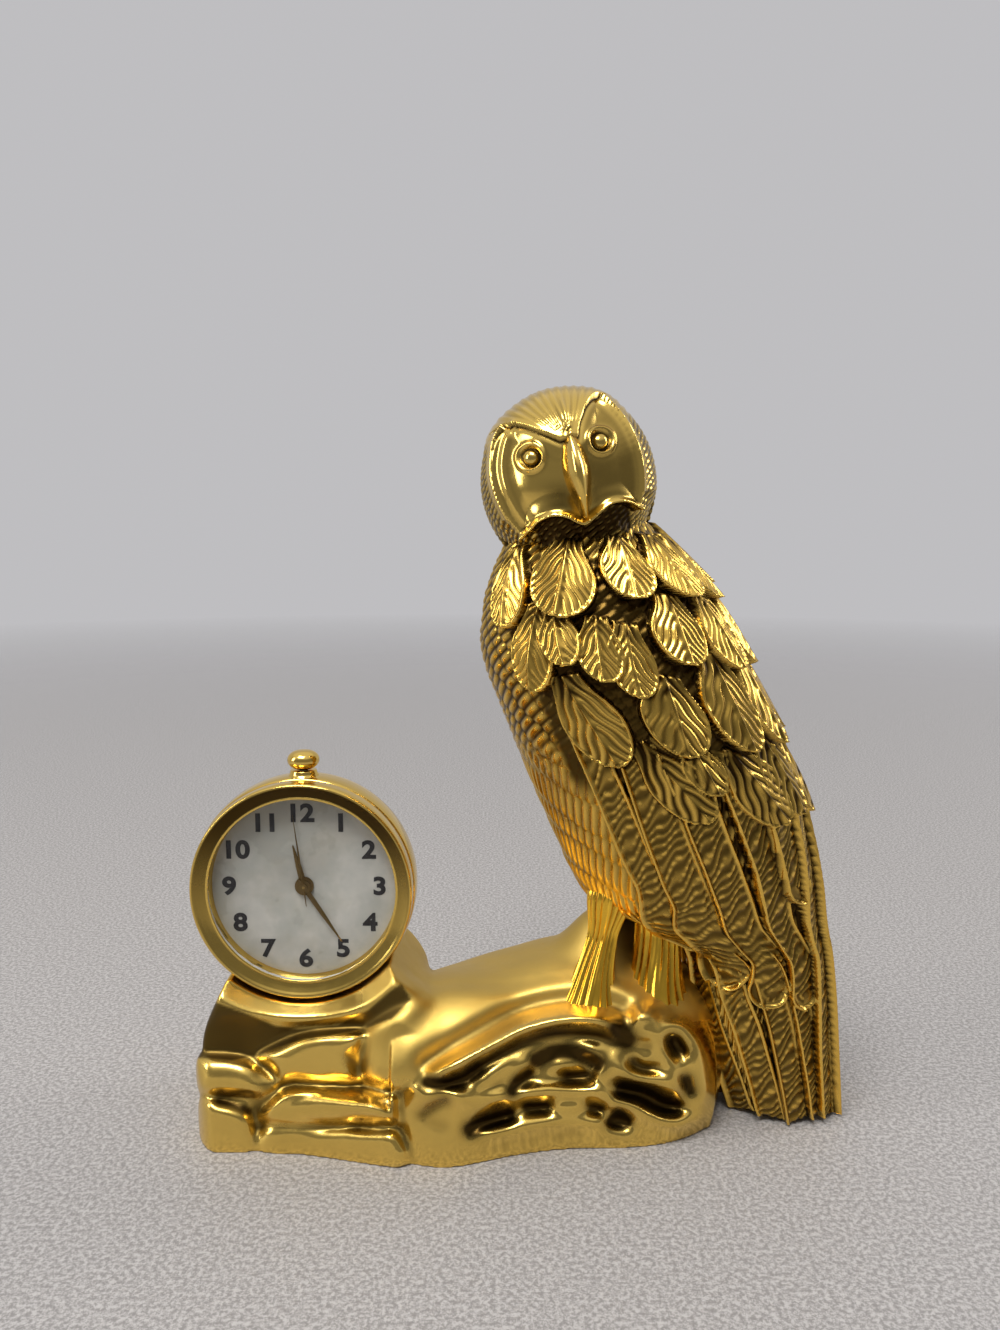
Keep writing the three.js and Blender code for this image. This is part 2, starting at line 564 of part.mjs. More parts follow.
// Hooked beak: a ridge that stands out most at two thirds of its length and ends in a point.
function beak() {
  const rings = [];
  const stations = 7;
  for (let i = 0; i <= stations; i += 1) {
    const f = i / stations;
    const y = BEAK.top + (BEAK.tip - BEAK.top) * f;
    const swell = 0.45 + 0.55 * Math.sin(Math.PI * Math.min(1, f * 1.35 + 0.12));
    const half = BEAK.half * swell * (f < 1 ? 1 : 0.4) + 0.08;
    const stand = BEAK.stand * Math.sin(Math.PI * (0.12 + 0.68 * f));
    const floor = faceDepth(0, y) - DISC.dish - 0.8;
    const crest = faceDepth(0, y) - DISC.dish + stand;
    rings.push([
      new THREE.Vector3(-half, y, floor), new THREE.Vector3(half, y, floor),
      new THREE.Vector3(half * 0.8, y, floor + (crest - floor) * 0.6), new THREE.Vector3(0, y, crest),
      new THREE.Vector3(-half * 0.8, y, floor + (crest - floor) * 0.6),
    ]);
  }
  return skin(rings);
}

function buildOwl() {
  const feathers = [1, -1].flatMap((side) => [
    ...COVERTS.map((place) => feather(place, LEAF_PROFILE, COVERT_LIFT, side)),
    ...FLIGHTS.map((place) => feather(place, BLADE_PROFILE, FLIGHT_LIFT, side)),
    ...TAIL.map((place) => feather(place, BLADE_PROFILE, TAIL_LIFT, side)),
  ]);
  const head = [skull(), ...eyes(), beak()].map(headFrame);
  const legs = LEGS.map((place) => leg(place, 0));
  const whole = united([bodySkin(0), ...feathers, ...head, ...legs].map(solid));
  const bore = disc(OWL_SCREW.shank + RUN_GAP, SEAT_Z - 1, SEAT_Z + OWL_BITE + RUN_GAP, 12);
  return whole.subtract(solid(bore.translate(...OWL_SCREW_AT, 0)));
}

// Rock base

const smooth = THREE.MathUtils.smoothstep;
const spline = (path) => new THREE.SplineCurve(path.map((place) => new THREE.Vector2(...place)));
const TRACES = [...CRESTS, ...PITS].map(({ path, half, rise }) => (
  { half, rise, line: spline(path).getPoints(4 * path.length) }
));
const OUTLINES = SHEETS.map(({ outline, rise }) => (
  { rise, line: outline.map((place) => new THREE.Vector2(...place)) }
));

function lineDistance(place, line) {
  let best = Infinity;
  for (let i = 1; i < line.length; i += 1) {
    const run = line[i].clone().sub(line[i - 1]);
    const from = place.clone().sub(line[i - 1]);
    const t = THREE.MathUtils.clamp(from.dot(run) / run.lengthSq(), 0, 1);
    best = Math.min(best, from.sub(run.multiplyScalar(t)).length());
  }
  return best;
}

function encloses(line, { x, y }) {
  return line.reduce((inside, a, i) => {
    const b = line[(i + 1) % line.length];
    const crosses = (a.y > y) !== (b.y > y) && x < ((b.x - a.x) * (y - a.y)) / (b.y - a.y) + a.x;
    return crosses ? !inside : inside;
  }, false);
}

// Height of the relief at a place (x, z) on the front.
function frontRelief(x, z) {
  const place = new THREE.Vector2(x, z);
  const sheet = OUTLINES.reduce((height, { rise, line }) => {
    if (!encloses(line, place)) return height;
    const edge = lineDistance(place, [...line, line[0]]);
    return Math.max(height, rise * (1 - Math.exp(-edge / SHEET_EDGE)));
  }, 0);
  return TRACES.reduce((height, { half, rise, line }) => (
    height + rise * Math.exp(-((lineDistance(place, line) / half) ** 2))
  ), sheet);
}

// Top of the cradle at a place along it.
function cradleTop(x) {
  const i = Math.max(1, CRADLE_TOPS.findIndex((station) => station.x >= x));
  const [a, b] = [CRADLE_TOPS[i - 1], CRADLE_TOPS[i]];
  return a.top + ((b.top - a.top) * (x - a.x)) / (b.x - a.x);
}

// How far the cradle's rounded ends draw in at a distance from them.
function endInset(x) {
  const gap = Math.max(0, CRADLE.round - Math.min(x - CRADLE.left, CRADLE.right - x));
  return CRADLE.round - Math.sqrt(Math.max(0, CRADLE.round ** 2 - gap ** 2));
}

// Front or back of the rock at a place: the section of the mound, or that of the cradle where it stands
// further out.
function rockEdge(x, z, side) {
  const [front, back, top] = ['front', 'back', 'top'].map((key) => along(ROCK_STATIONS, 'x', key, x));
  const share = Math.max(0, 1 - (z / top) ** ROCK_SQUARENESS) ** (1 / ROCK_SQUARENESS);
  const mound = (front + back) / 2 + side * ((back - front) / 2) * share;
  if (x < CRADLE.left || x > CRADLE.right) return mound;
  const hollow = Math.max(0, 1 - ((z - COVE.z) / COVE.half) ** 2);
  const cove = COVE.depth * hollow * smooth(-x, -COVE.right, COVE.run - COVE.right);
  const upper = Math.min(CRADLE.round, Math.max(0, z - cradleTop(x) + CRADLE.round));
  const roof = (CRADLE.round - Math.sqrt(Math.max(0, CRADLE.round ** 2 - upper ** 2))) * 0.5;
  const block = side < 0 ? CRADLE.front + cove + endInset(x) + roof : CRADLE.back - endInset(x) - roof;
  return side < 0 ? Math.min(mound, block) : Math.max(mound, block);
}

function rockRing(x) {
  const mound = along(ROCK_STATIONS, 'x', 'top', x);
  const inCradle = x >= CRADLE.left && x <= CRADLE.right;
  const top = inCradle ? Math.max(mound, cradleTop(x)) : mound;
  const ring = FRONT_LEVELS.map((level) => {
    const z = level * top;
    const y = rockEdge(x, z, -1);
    return new THREE.Vector3(x, y - frontRelief(x, z) * smooth(-y, RELIEF_FROM, RELIEF_FULL), z);
  });
  const rim = rockEdge(x, FRONT_LEVELS[FRONT_LEVELS.length - 1] * top, -1);
  const far = rockEdge(x, BACK_LEVELS[0] * top, 1);
  TOP_SHARES.forEach((share) => ring.push(new THREE.Vector3(x, rim + (far - rim) * share, top)));
  BACK_LEVELS.forEach((level) => ring.push(new THREE.Vector3(x, rockEdge(x, level * top, 1), level * top)));
  return ring;
}

function rockMass() {
  const [first, last] = [ROCK_STATIONS[0].x, ROCK_STATIONS[ROCK_STATIONS.length - 1].x];
  const rings = [];
  for (let i = 0; i <= ROCK_RINGS; i += 1) {
    rings.push(rockRing(first + ((last - first) * i) / ROCK_RINGS));
  }
  return skin(rings);
}

const CLOCK_FOOT_Y = CLOCK_FRONT_Y + CASE_DEPTH / 2 + 0.4;
const CLOCK_FOOT_Z = CLOCK_Z - CASE_RADIUS - FOOT.height;
const CLOCK_SCREW_PLACE = {
  x: CLOCK_X, y: CLOCK_FOOT_Y, foot: CLOCK_FOOT_Z + SCREW_BITE - CLOCK_SCREW.length,
};
const OWL_SCREW_PLACE = {
  x: OWL_SCREW_AT[0], y: OWL_SCREW_AT[1], foot: SEAT_Z + OWL_BITE - OWL_SCREW.length,
};

function screwHole(place, screw) {
  const head = disc(screw.head + RUN_GAP, -2, place.foot + RUN_GAP, 16);
  const shank = disc(screw.shank + RUN_GAP, -2, SEAT_Z + 3, 16);
  return solid(head).add(solid(shank)).translate([place.x, place.y, 0]);
}

function buildBase() {
  let base = united([rockMass(), ...SWELLS.map((swell) => ellipsoid(swell))].map(solid));
  const seat = CASE_RADIUS + CRADLE_GAP;
  const drum = new THREE.CylinderGeometry(seat, seat, 30, 40);
  drum.translate(CLOCK_X, 0, CLOCK_Z);
  const flareDepth = CLOCK_FRONT_Y - CRADLE.front + 0.5;
  const flare = new THREE.CylinderGeometry(seat, seat + SADDLE_FLARE * 1.5, flareDepth * 1.5, 40);
  flare.translate(CLOCK_X, CLOCK_FRONT_Y + 0.5 - flareDepth * 0.75, CLOCK_Z);
  const pocket = box(
    CLOCK_X - FOOT.width / 2 - CRADLE_GAP, CLOCK_X + FOOT.width / 2 + CRADLE_GAP,
    CLOCK_FOOT_Y - FOOT.depth / 2 - CRADLE_GAP, CLOCK_FOOT_Y + FOOT.depth / 2 + CRADLE_GAP,
    CLOCK_FOOT_Z - CRADLE_GAP, CLOCK_Z,
  );
  const below = box(-60, 60, -30, 30, -10, 0);
  const owlRoom = [bodySkin(SEAT_GAP, -1), ...LEGS.map((place) => leg(place, SEAT_GAP))];
  [drum, flare, pocket, below, ...owlRoom].forEach((cut) => { base = base.subtract(solid(cut)); });
  base = base.subtract(screwHole(CLOCK_SCREW_PLACE, CLOCK_SCREW));
  return base.subtract(screwHole(OWL_SCREW_PLACE, OWL_SCREW));
}

function panScrew(screw, place) {
  const profile = [
    [0, -screw.headHeight], [screw.head * 0.8, -screw.headHeight], [screw.head, -screw.headHeight * 0.6],
    [screw.head, 0], [screw.shank, 0], [screw.shank, screw.length - screw.shank], [screw.shank * 0.3, screw.length],
    [0, screw.length],
  ];
  return turned(profile, 12).translate(place.x, place.y, place.foot);
}

// Clock levels, all behind the front plane of the bezel

const CRYSTAL_FRONT = -BEZEL_SLOPE_DEPTH - BEZEL_LIP - FIT_GAP;
const CRYSTAL_BACK = CRYSTAL_FRONT - CRYSTAL_THICKNESS;
const SECOND_HAND_Z = CRYSTAL_BACK - RUN_GAP - HAND_THICKNESS;
const MINUTE_HAND_Z = SECOND_HAND_Z - RUN_GAP - HAND_THICKNESS;
const HOUR_HAND_Z = MINUTE_HAND_Z - RUN_GAP - HAND_THICKNESS;
const DIAL_FRONT = HOUR_HAND_Z - RUN_GAP;
const DIAL_BACK = DIAL_FRONT - DIAL_THICKNESS;
const HOUR_WHEEL_Z = DIAL_BACK - RUN_GAP - WHEEL_THICKNESS;
const MINUTE_WHEEL_Z = HOUR_WHEEL_Z - RUN_GAP - WHEEL_THICKNESS;
const PLATE_FRONT = MINUTE_WHEEL_Z - RUN_GAP;
const PLATE_BACK = PLATE_FRONT - PLATE_THICKNESS;
const WHEEL_PITCH = WHEEL_THICKNESS + 2 * RUN_GAP;
const CENTRE_WHEEL_Z = PLATE_BACK - RUN_GAP - WHEEL_THICKNESS;
const THIRD_WHEEL_Z = CENTRE_WHEEL_Z - WHEEL_PITCH;
const FOURTH_WHEEL_Z = THIRD_WHEEL_Z - WHEEL_PITCH;
const INTERMEDIATE_WHEEL_Z = FOURTH_WHEEL_Z - WHEEL_PITCH;
const BRIDGE_FRONT = INTERMEDIATE_WHEEL_Z - RUN_GAP;
const BRIDGE_BACK = BRIDGE_FRONT - BRIDGE_THICKNESS;
const CASE_BACK_FRONT = -CASE_DEPTH + CASE_BACK_THICKNESS;

const polar = (distance, degrees) => [
  distance * Math.cos(radians(degrees)), distance * Math.sin(radians(degrees)),
];
const THIRD_AT = polar(THIRD_DISTANCE, THIRD_ANGLE);
const INTERMEDIATE_AT = polar(INTERMEDIATE_DISTANCE, INTERMEDIATE_ANGLE);
const ROTOR_AT = polar(INTERMEDIATE_DISTANCE + ROTOR_DISTANCE, INTERMEDIATE_ANGLE);
const MINUTE_WHEEL_AT = polar(MINUTE_WHEEL_DISTANCE, MINUTE_WHEEL_ANGLE);
const BATTERY_AT = polar(BATTERY_DISTANCE, BATTERY_ANGLE);
const COIL_AT = polar(COIL_DISTANCE, COIL_ANGLE);

const moduleOf = (distance, a, b) => (2 * distance) / (TEETH[a] + TEETH[b]);
const MODULES = {
  motor: moduleOf(ROTOR_DISTANCE, 'rotorPinion', 'intermediateWheel'),
  seconds: moduleOf(INTERMEDIATE_DISTANCE, 'intermediatePinion', 'fourthWheel'),
  third: moduleOf(THIRD_DISTANCE, 'fourthPinion', 'thirdWheel'),
  centre: moduleOf(THIRD_DISTANCE, 'thirdPinion', 'centreWheel'),
  minute: moduleOf(MINUTE_WHEEL_DISTANCE, 'cannonPinion', 'minuteWheel'),
  hour: moduleOf(MINUTE_WHEEL_DISTANCE, 'minutePinion', 'hourWheel'),
};

// One tooth as [share of the pitch, height in modules]
const LEAF_TOOTH = [[-0.5, -1.15], [-0.14, 0.8], [0.14, 0.8]];
const POINTED_TOOTH = [[-0.5, -1.1], [0, 0.85]];

// A toothed disc with a round hole; 'toward' is the direction of its partner, with a tooth or a gap there.
function toothed({ teeth, size, toward, gapThere, hole, z0, z1 }) {
  const pitch = (2 * Math.PI) / teeth;
  const radius = (teeth * size) / 2;
  const start = radians(toward) + (gapThere ? pitch / 2 : 0);
  const outline = teeth > 12 ? POINTED_TOOTH : LEAF_TOOTH;
  const points = [];
  for (let k = 0; k < teeth; k += 1) {
    const middle = start + k * pitch;
    outline.forEach(([turn, rise]) => {
      points.push(polar(radius + rise * size, THREE.MathUtils.radToDeg(middle + turn * pitch)));
    });
  }
  const shape = polygon(points);
  if (hole > 0) {
    const path = new THREE.Path();
    path.absarc(0, 0, hole, 0, 2 * Math.PI, true);
    shape.holes.push(path);
  }
  return plate(shape, z0, z1);
}

const wheelAt = (teeth, size, toward, z, hole = 0) => toothed({
  teeth, size, toward, gapThere: true, hole, z0: z, z1: z + WHEEL_THICKNESS,
});
const pinionAt = (teeth, size, toward, z, hole = 0) => toothed({
  teeth, size, toward, gapThere: false, hole, z0: z - PINION_EXTRA, z1: z + WHEEL_THICKNESS + PINION_EXTRA,
});

function bored(solids, radius, z0, z1) {
  return united(solids.map(solid)).subtract(solid(disc(radius, z0, z1, 12)));
}

function hourWheel() {
  const wheel = wheelAt(TEETH.hourWheel, MODULES.hour, MINUTE_WHEEL_ANGLE, HOUR_WHEEL_Z);
  const pipe = disc(HOUR_PIPE.outer, HOUR_WHEEL_Z, HOUR_HAND_Z + HAND_THICKNESS, 12);
  return bored([wheel, pipe], HOUR_PIPE.inner, -9, 0);
}

function centreWheel() {
  const wheel = wheelAt(TEETH.centreWheel, MODULES.centre, THIRD_ANGLE, CENTRE_WHEEL_Z);
  const cannon = pinionAt(TEETH.cannonPinion, MODULES.minute, MINUTE_WHEEL_ANGLE, MINUTE_WHEEL_Z);
  const pipe = disc(CANNON_PIPE.outer, CENTRE_WHEEL_Z, MINUTE_HAND_Z + HAND_THICKNESS, 12);
  return bored([wheel, cannon, pipe], CANNON_PIPE.inner, -9, 0);
}

function minuteWheel() {
  const toCentre = MINUTE_WHEEL_ANGLE + 180;
  const wheel = wheelAt(TEETH.minuteWheel, MODULES.minute, toCentre, MINUTE_WHEEL_Z);
  const pinion = pinionAt(TEETH.minutePinion, MODULES.hour, toCentre, HOUR_WHEEL_Z);
  const hub = disc(ARBOR_RADIUS * 2, MINUTE_WHEEL_Z, HOUR_WHEEL_Z + WHEEL_THICKNESS, 12);
  return bored([wheel, pinion, hub], ARBOR_RADIUS + FIT_GAP, -9, 0).translate([...MINUTE_WHEEL_AT, 0]);
}

function thirdWheel() {
  const toCentre = THIRD_ANGLE + 180;
  const wheel = wheelAt(TEETH.thirdWheel, MODULES.third, toCentre, THIRD_WHEEL_Z);
  const pinion = pinionAt(TEETH.thirdPinion, MODULES.centre, toCentre, CENTRE_WHEEL_Z);
  const arbor = disc(ARBOR_RADIUS, PLATE_BACK + 0.2, BRIDGE_BACK + 0.1, 8);
  const collar = disc(ARBOR_RADIUS * 2, THIRD_WHEEL_Z, CENTRE_WHEEL_Z + WHEEL_THICKNESS, 8);
  return united([wheel, pinion, arbor, collar].map(solid)).translate([...THIRD_AT, 0]);
}

function fourthWheel() {
  const wheel = wheelAt(TEETH.fourthWheel, MODULES.seconds, INTERMEDIATE_ANGLE, FOURTH_WHEEL_Z);
  const pinion = pinionAt(TEETH.fourthPinion, MODULES.third, THIRD_ANGLE, THIRD_WHEEL_Z);
  const arbor = disc(ARBOR_RADIUS, BRIDGE_BACK + 0.1, SECOND_HAND_Z + HAND_THICKNESS, 8);
  const collar = disc(ARBOR_RADIUS * 2, FOURTH_WHEEL_Z, THIRD_WHEEL_Z, 8);
  return united([wheel, pinion, arbor, collar].map(solid));
}

function intermediateWheel() {
  const wheel = wheelAt(TEETH.intermediateWheel, MODULES.motor, INTERMEDIATE_ANGLE, INTERMEDIATE_WHEEL_Z);
  const pinion = pinionAt(TEETH.intermediatePinion, MODULES.seconds, INTERMEDIATE_ANGLE + 180, FOURTH_WHEEL_Z);
  const arbor = disc(ARBOR_RADIUS, PLATE_BACK + 0.2, BRIDGE_BACK + 0.1, 8);
  const collar = disc(ARBOR_RADIUS * 2, INTERMEDIATE_WHEEL_Z, FOURTH_WHEEL_Z, 8);
  return united([wheel, pinion, arbor, collar].map(solid)).translate([...INTERMEDIATE_AT, 0]);
}

const STATOR_FRONT = THIRD_WHEEL_Z + WHEEL_THICKNESS;
const STATOR_BACK = STATOR_FRONT - STATOR_THICKNESS;

function rotor() {
  const pinion = pinionAt(TEETH.rotorPinion, MODULES.motor, INTERMEDIATE_ANGLE + 180, INTERMEDIATE_WHEEL_Z);
  const magnetMiddle = (STATOR_FRONT + STATOR_BACK) / 2;
  const magnet = disc(
    ROTOR_MAGNET_RADIUS, magnetMiddle - ROTOR_MAGNET_HEIGHT / 2, magnetMiddle + ROTOR_MAGNET_HEIGHT / 2, 14,
  );
  const arbor = disc(ARBOR_RADIUS, PLATE_BACK + 0.2, BRIDGE_BACK + 0.1, 12);
  return united([pinion, magnet, arbor].map(solid)).translate([...ROTOR_AT, 0]);
}

// Coil frame: along the coil is local x, across it is local y.
function besideCoil(geometry) {
  return geometry.rotateZ(radians(COIL_ANGLE + 90)).translate(...COIL_AT, 0);
}

const CORE_FRONT = STATOR_BACK - FIT_GAP;
const CORE_BACK = CORE_FRONT - COIL_CORE.height;

function coilCore() {
  const half = COIL_CORE.length / 2;
  const bar = box(-half, half, -COIL_CORE.width / 2, COIL_CORE.width / 2, CORE_BACK, CORE_FRONT);
  return besideCoil(bar);
}

function coilWinding() {
  const middle = (CORE_FRONT + CORE_BACK) / 2;
  const outline = new THREE.Shape();
  outline.absarc(0, 0, COIL_WINDING.radius, 0, 2 * Math.PI);
  const gap = FIT_GAP;
  const hole = new THREE.Path([
    [-COIL_CORE.width / 2 - gap, -COIL_CORE.height / 2 - gap],
    [-COIL_CORE.width / 2 - gap, COIL_CORE.height / 2 + gap],
    [COIL_CORE.width / 2 + gap, COIL_CORE.height / 2 + gap],
    [COIL_CORE.width / 2 + gap, -COIL_CORE.height / 2 - gap],
  ].map(([x, y]) => new THREE.Vector2(x, y)));
  outline.holes.push(hole);
  const winding = plate(outline, -COIL_WINDING.length / 2, COIL_WINDING.length / 2);
  winding.rotateX(Math.PI / 2).rotateZ(Math.PI / 2).translate(0, 0, middle);
  return besideCoil(winding);
}

function stator() {
  const turn = radians(COIL_ANGLE + 90);
  const ends = [-1, 1].map((side) => {
    const reach = side * (COIL_WINDING.length / 2 + (COIL_CORE.length - COIL_WINDING.length) / 4 + 0.1);
    return [COIL_AT[0] + reach * Math.cos(turn), COIL_AT[1] + reach * Math.sin(turn)];
  });
  const pad = (at, radius) => solid(disc(radius, STATOR_BACK, STATOR_FRONT, 10)).translate([...at, 0]);
  const bar = (from, to, width) => {
    const length = Math.hypot(to[0] - from[0], to[1] - from[1]);
    const strip = box(0, length, -width / 2, width / 2, STATOR_BACK, STATOR_FRONT);
    strip.rotateZ(Math.atan2(to[1] - from[1], to[0] - from[0])).translate(...from, 0);
    return solid(strip);
  };
  const clear = COIL_WINDING.radius * 2;
  const corner = [ends[0][0] - clear * Math.sin(turn), ends[0][1] + clear * Math.cos(turn)];
  const body = united([
    pad(ROTOR_AT, STATOR_BORE + 0.7), pad(ends[0], 0.5), pad(ends[1], 0.5), pad(corner, 0.5),
    bar(ends[0], corner, 0.9), bar(corner, ROTOR_AT, 0.9), bar(ends[1], ROTOR_AT, 0.9),
  ]);
  return body.subtract(solid(disc(STATOR_BORE, -9, 0, 20)).translate([...ROTOR_AT, 0]));
}

function mainPlate() {
  const hole = (at, radius) => solid(disc(radius, -9, 0, 8)).translate([...at, 0]);
  const pillarFoot = BRIDGE_FRONT + FIT_GAP;
  const pillar = solid(disc(PILLAR_RADIUS, pillarFoot, PLATE_BACK + 0.1, 8));
  const pillars = PILLARS.map((at) => pillar.translate([...at, 0]));
  const screwHoles = PILLARS.map((at) => (
    solid(disc(BRIDGE_SCREW.shank + FIT_GAP, -9, BRIDGE_FRONT + BRIDGE_SCREW.length, 8)).translate([...at, 0])
  ));
  const post = solid(disc(ARBOR_RADIUS, PLATE_BACK, HOUR_WHEEL_Z + WHEEL_THICKNESS, 12));
  const stemRoom = FLANGE_RADIUS + 2 * RUN_GAP;
  const slot = solid(box(-stemRoom, stemRoom, STEM_END - RUN_GAP, PLATE_RADIUS + 1, -9, 0));
  let body = united([solid(disc(PLATE_RADIUS, PLATE_BACK, PLATE_FRONT)), ...pillars]);
  body = body.add(post.translate([...MINUTE_WHEEL_AT, 0]));
  const leverBack = -STEM_DEPTH - STEM_RADIUS - FIT_GAP - LEVER_THICKNESS;
  body = body.add(solid(disc(ARBOR_RADIUS, leverBack, PLATE_BACK, 8)).translate([...LEVER_PIVOT, 0]));
  [hole([0, 0], CANNON_PIPE.outer + RUN_GAP), slot, ...screwHoles,
    ...[THIRD_AT, INTERMEDIATE_AT, ROTOR_AT].map((at) => hole(at, PIVOT_HOLE))].forEach((cut) => {
    body = body.subtract(cut);
  });
  return body;
}

function trainBridge() {
  const outline = polygon([
    [-7.2, 0.6], [-6.9, 2.3], [-4.2, 4.9], [1.5, 5.8], [2.8, 5.6], [4.0, 2.4],
    [7.4, 1.1], [7.6, -0.6], [6.6, -2.9], [4.4, -3.3], [0.6, -2.8], [-1.9, -0.5],
  ]);
  let body = solid(plate(outline, BRIDGE_BACK, BRIDGE_FRONT));
  [[0, 0], THIRD_AT, INTERMEDIATE_AT, ROTOR_AT].forEach((at) => {
    body = body.subtract(solid(disc(PIVOT_HOLE, -9, 0, 8)).translate([...at, 0]));
  });
  PILLARS.forEach((at) => {
    body = body.subtract(solid(disc(BRIDGE_SCREW.shank + FIT_GAP, -9, 0, 8)).translate([...at, 0]));
  });
  return body;
}

function bridgeScrew([x, y]) {
  const seat = BRIDGE_BACK - FIT_GAP / 2;
  const profile = [
    [0, seat - BRIDGE_SCREW.headHeight], [BRIDGE_SCREW.head, seat - BRIDGE_SCREW.headHeight],
    [BRIDGE_SCREW.head, seat], [BRIDGE_SCREW.shank, seat],
    [BRIDGE_SCREW.shank, seat + BRIDGE_SCREW.length], [0, seat + BRIDGE_SCREW.length],
  ];
  return turned(profile, 8).translate(x, y, 0);
}

const BATTERY_FRONT = PLATE_BACK - FIT_GAP;
const BATTERY_BACK = BATTERY_FRONT - BATTERY_HEIGHT;

function battery() {
  const step = 0.25;
  const profile = [
    [0, BATTERY_BACK], [BATTERY_RADIUS, BATTERY_BACK], [BATTERY_RADIUS, BATTERY_FRONT - step],
    [BATTERY_RADIUS - step, BATTERY_FRONT - step], [BATTERY_RADIUS - step, BATTERY_FRONT], [0, BATTERY_FRONT],
  ];
  return turned(profile, 22).translate(...BATTERY_AT, 0);
}

function batteryStrap() {
  const top = BATTERY_BACK - FIT_GAP;
  const reach = BATTERY_RADIUS + 0.5;
  const strip = box(-reach, reach, -STRAP_WIDTH / 2, STRAP_WIDTH / 2, top - STRAP_THICKNESS, top);
  const foot = box(-reach, -reach + 0.25, -STRAP_WIDTH / 2, STRAP_WIDTH / 2, top - STRAP_THICKNESS, PLATE_BACK - FIT_GAP);
  const joined = solid(strip).add(solid(foot));
  return joined.rotate([0, 0, BATTERY_ANGLE - 270]).translate([...BATTERY_AT, 0]);
}

const BOARD_FRONT = PLATE_BACK - FIT_GAP;
const BOARD_BACK = BOARD_FRONT - BOARD.thickness;

function circuitBoard() {
  const shape = new THREE.Shape();
  shape.absarc(0, 0, BOARD.outer, radians(BOARD.from), radians(BOARD.to));
  shape.absarc(0, 0, BOARD.inner, radians(BOARD.to), radians(BOARD.from), true);
  const chip = box(-0.75, 0.75, -0.75, 0.75, BOARD_BACK - 0.35, BOARD_BACK + 0.1);
  const [x, y] = polar(BOARD.inner + 0.9, BOARD.to - 9);
  chip.rotateZ(radians(BOARD.to - 9)).translate(x, y, 0);
  return solid(plate(shape, BOARD_BACK, BOARD_FRONT)).add(solid(chip));
}

function quartzCan() {
  const half = QUARTZ_CAN.length / 2;
  const can = disc(QUARTZ_CAN.radius, -half, half, 14).rotateX(Math.PI / 2);
  const [x, y] = polar(QUARTZ_CAN.distance, QUARTZ_CAN.angle);
  return can.rotateZ(radians(QUARTZ_CAN.angle)).translate(x, y, BOARD_BACK - FIT_GAP - QUARTZ_CAN.radius);
}

function settingLever() {
  const top = -STEM_DEPTH - STEM_RADIUS - FIT_GAP;
  const [x, y] = LEVER_PIVOT;
  const hub = disc(LEVER_HUB, top - LEVER_THICKNESS, top, 14).translate(x, y, 0);
  const arm = box(x, -FIT_GAP, y - LEVER_WIDTH / 2, y + LEVER_WIDTH / 2, top - LEVER_THICKNESS, top);
  const hole = disc(ARBOR_RADIUS + FIT_GAP, -9, 0, 8).translate(x, y, 0);
  return solid(hub).add(solid(arm)).subtract(solid(hole));
}

// Pieces turned about the stem; heights run along the stem from the clock axis.
function alongStem(profile, steps) {
  return turned(profile, steps).rotateX(-Math.PI / 2).translate(0, 0, -STEM_DEPTH);
}

const CASE_TOP = CASE_RADIUS;
const CROWN_FOOT = CASE_TOP + CROWN_TUBE_HEIGHT + RUN_GAP;

function windingStem() {
  const low = GROOVE_HEIGHT - GROOVE_WIDTH / 2;
  const high = GROOVE_HEIGHT + GROOVE_WIDTH / 2;
  return alongStem([
    [0, STEM_END], [STEM_RADIUS, STEM_END], [STEM_RADIUS, low - FLANGE_THICKNESS],
    [FLANGE_RADIUS, low - FLANGE_THICKNESS], [FLANGE_RADIUS, low], [STEM_RADIUS, low],
    [STEM_RADIUS, high], [FLANGE_RADIUS, high], [FLANGE_RADIUS, high + FLANGE_THICKNESS],
    [STEM_RADIUS, high + FLANGE_THICKNESS], [STEM_RADIUS, CROWN_FOOT + CROWN_HEIGHT * 0.45],
    [0, CROWN_FOOT + CROWN_HEIGHT * 0.45],
  ], 8);
}

function stemPinion() {
  const low = STEM_PINION_HEIGHT - STEM_PINION_LENGTH / 2;
  const gear = toothed({
    teeth: 9, size: 0.12, toward: 0, gapThere: false, hole: STEM_RADIUS + FIT_GAP, z0: low, z1: low + STEM_PINION_LENGTH,
  });
  return gear.rotateX(-Math.PI / 2).translate(0, 0, -STEM_DEPTH);
}

function crown() {
  const socket = STEM_RADIUS + FIT_GAP;
  const profile = [[socket, CROWN_FOOT], [CROWN_RADIUS * 0.62, CROWN_FOOT]];
  const arcs = 6;
  for (let k = 1; k < arcs; k += 1) {
    const angle = -Math.PI / 3 + ((Math.PI * 5) / 6) * (k / arcs);
    const lift = (Math.sin(angle) + Math.sin(Math.PI / 3)) / (1 + Math.sin(Math.PI / 3));
    profile.push([CROWN_RADIUS * Math.cos(angle), CROWN_FOOT + CROWN_HEIGHT * lift]);
  }
  profile.push([0, CROWN_FOOT + CROWN_HEIGHT], [0, CROWN_FOOT + CROWN_HEIGHT * 0.45 + FIT_GAP]);
  profile.push([socket, CROWN_FOOT + CROWN_HEIGHT * 0.45 + FIT_GAP]);
  return alongStem(profile, 20);
}

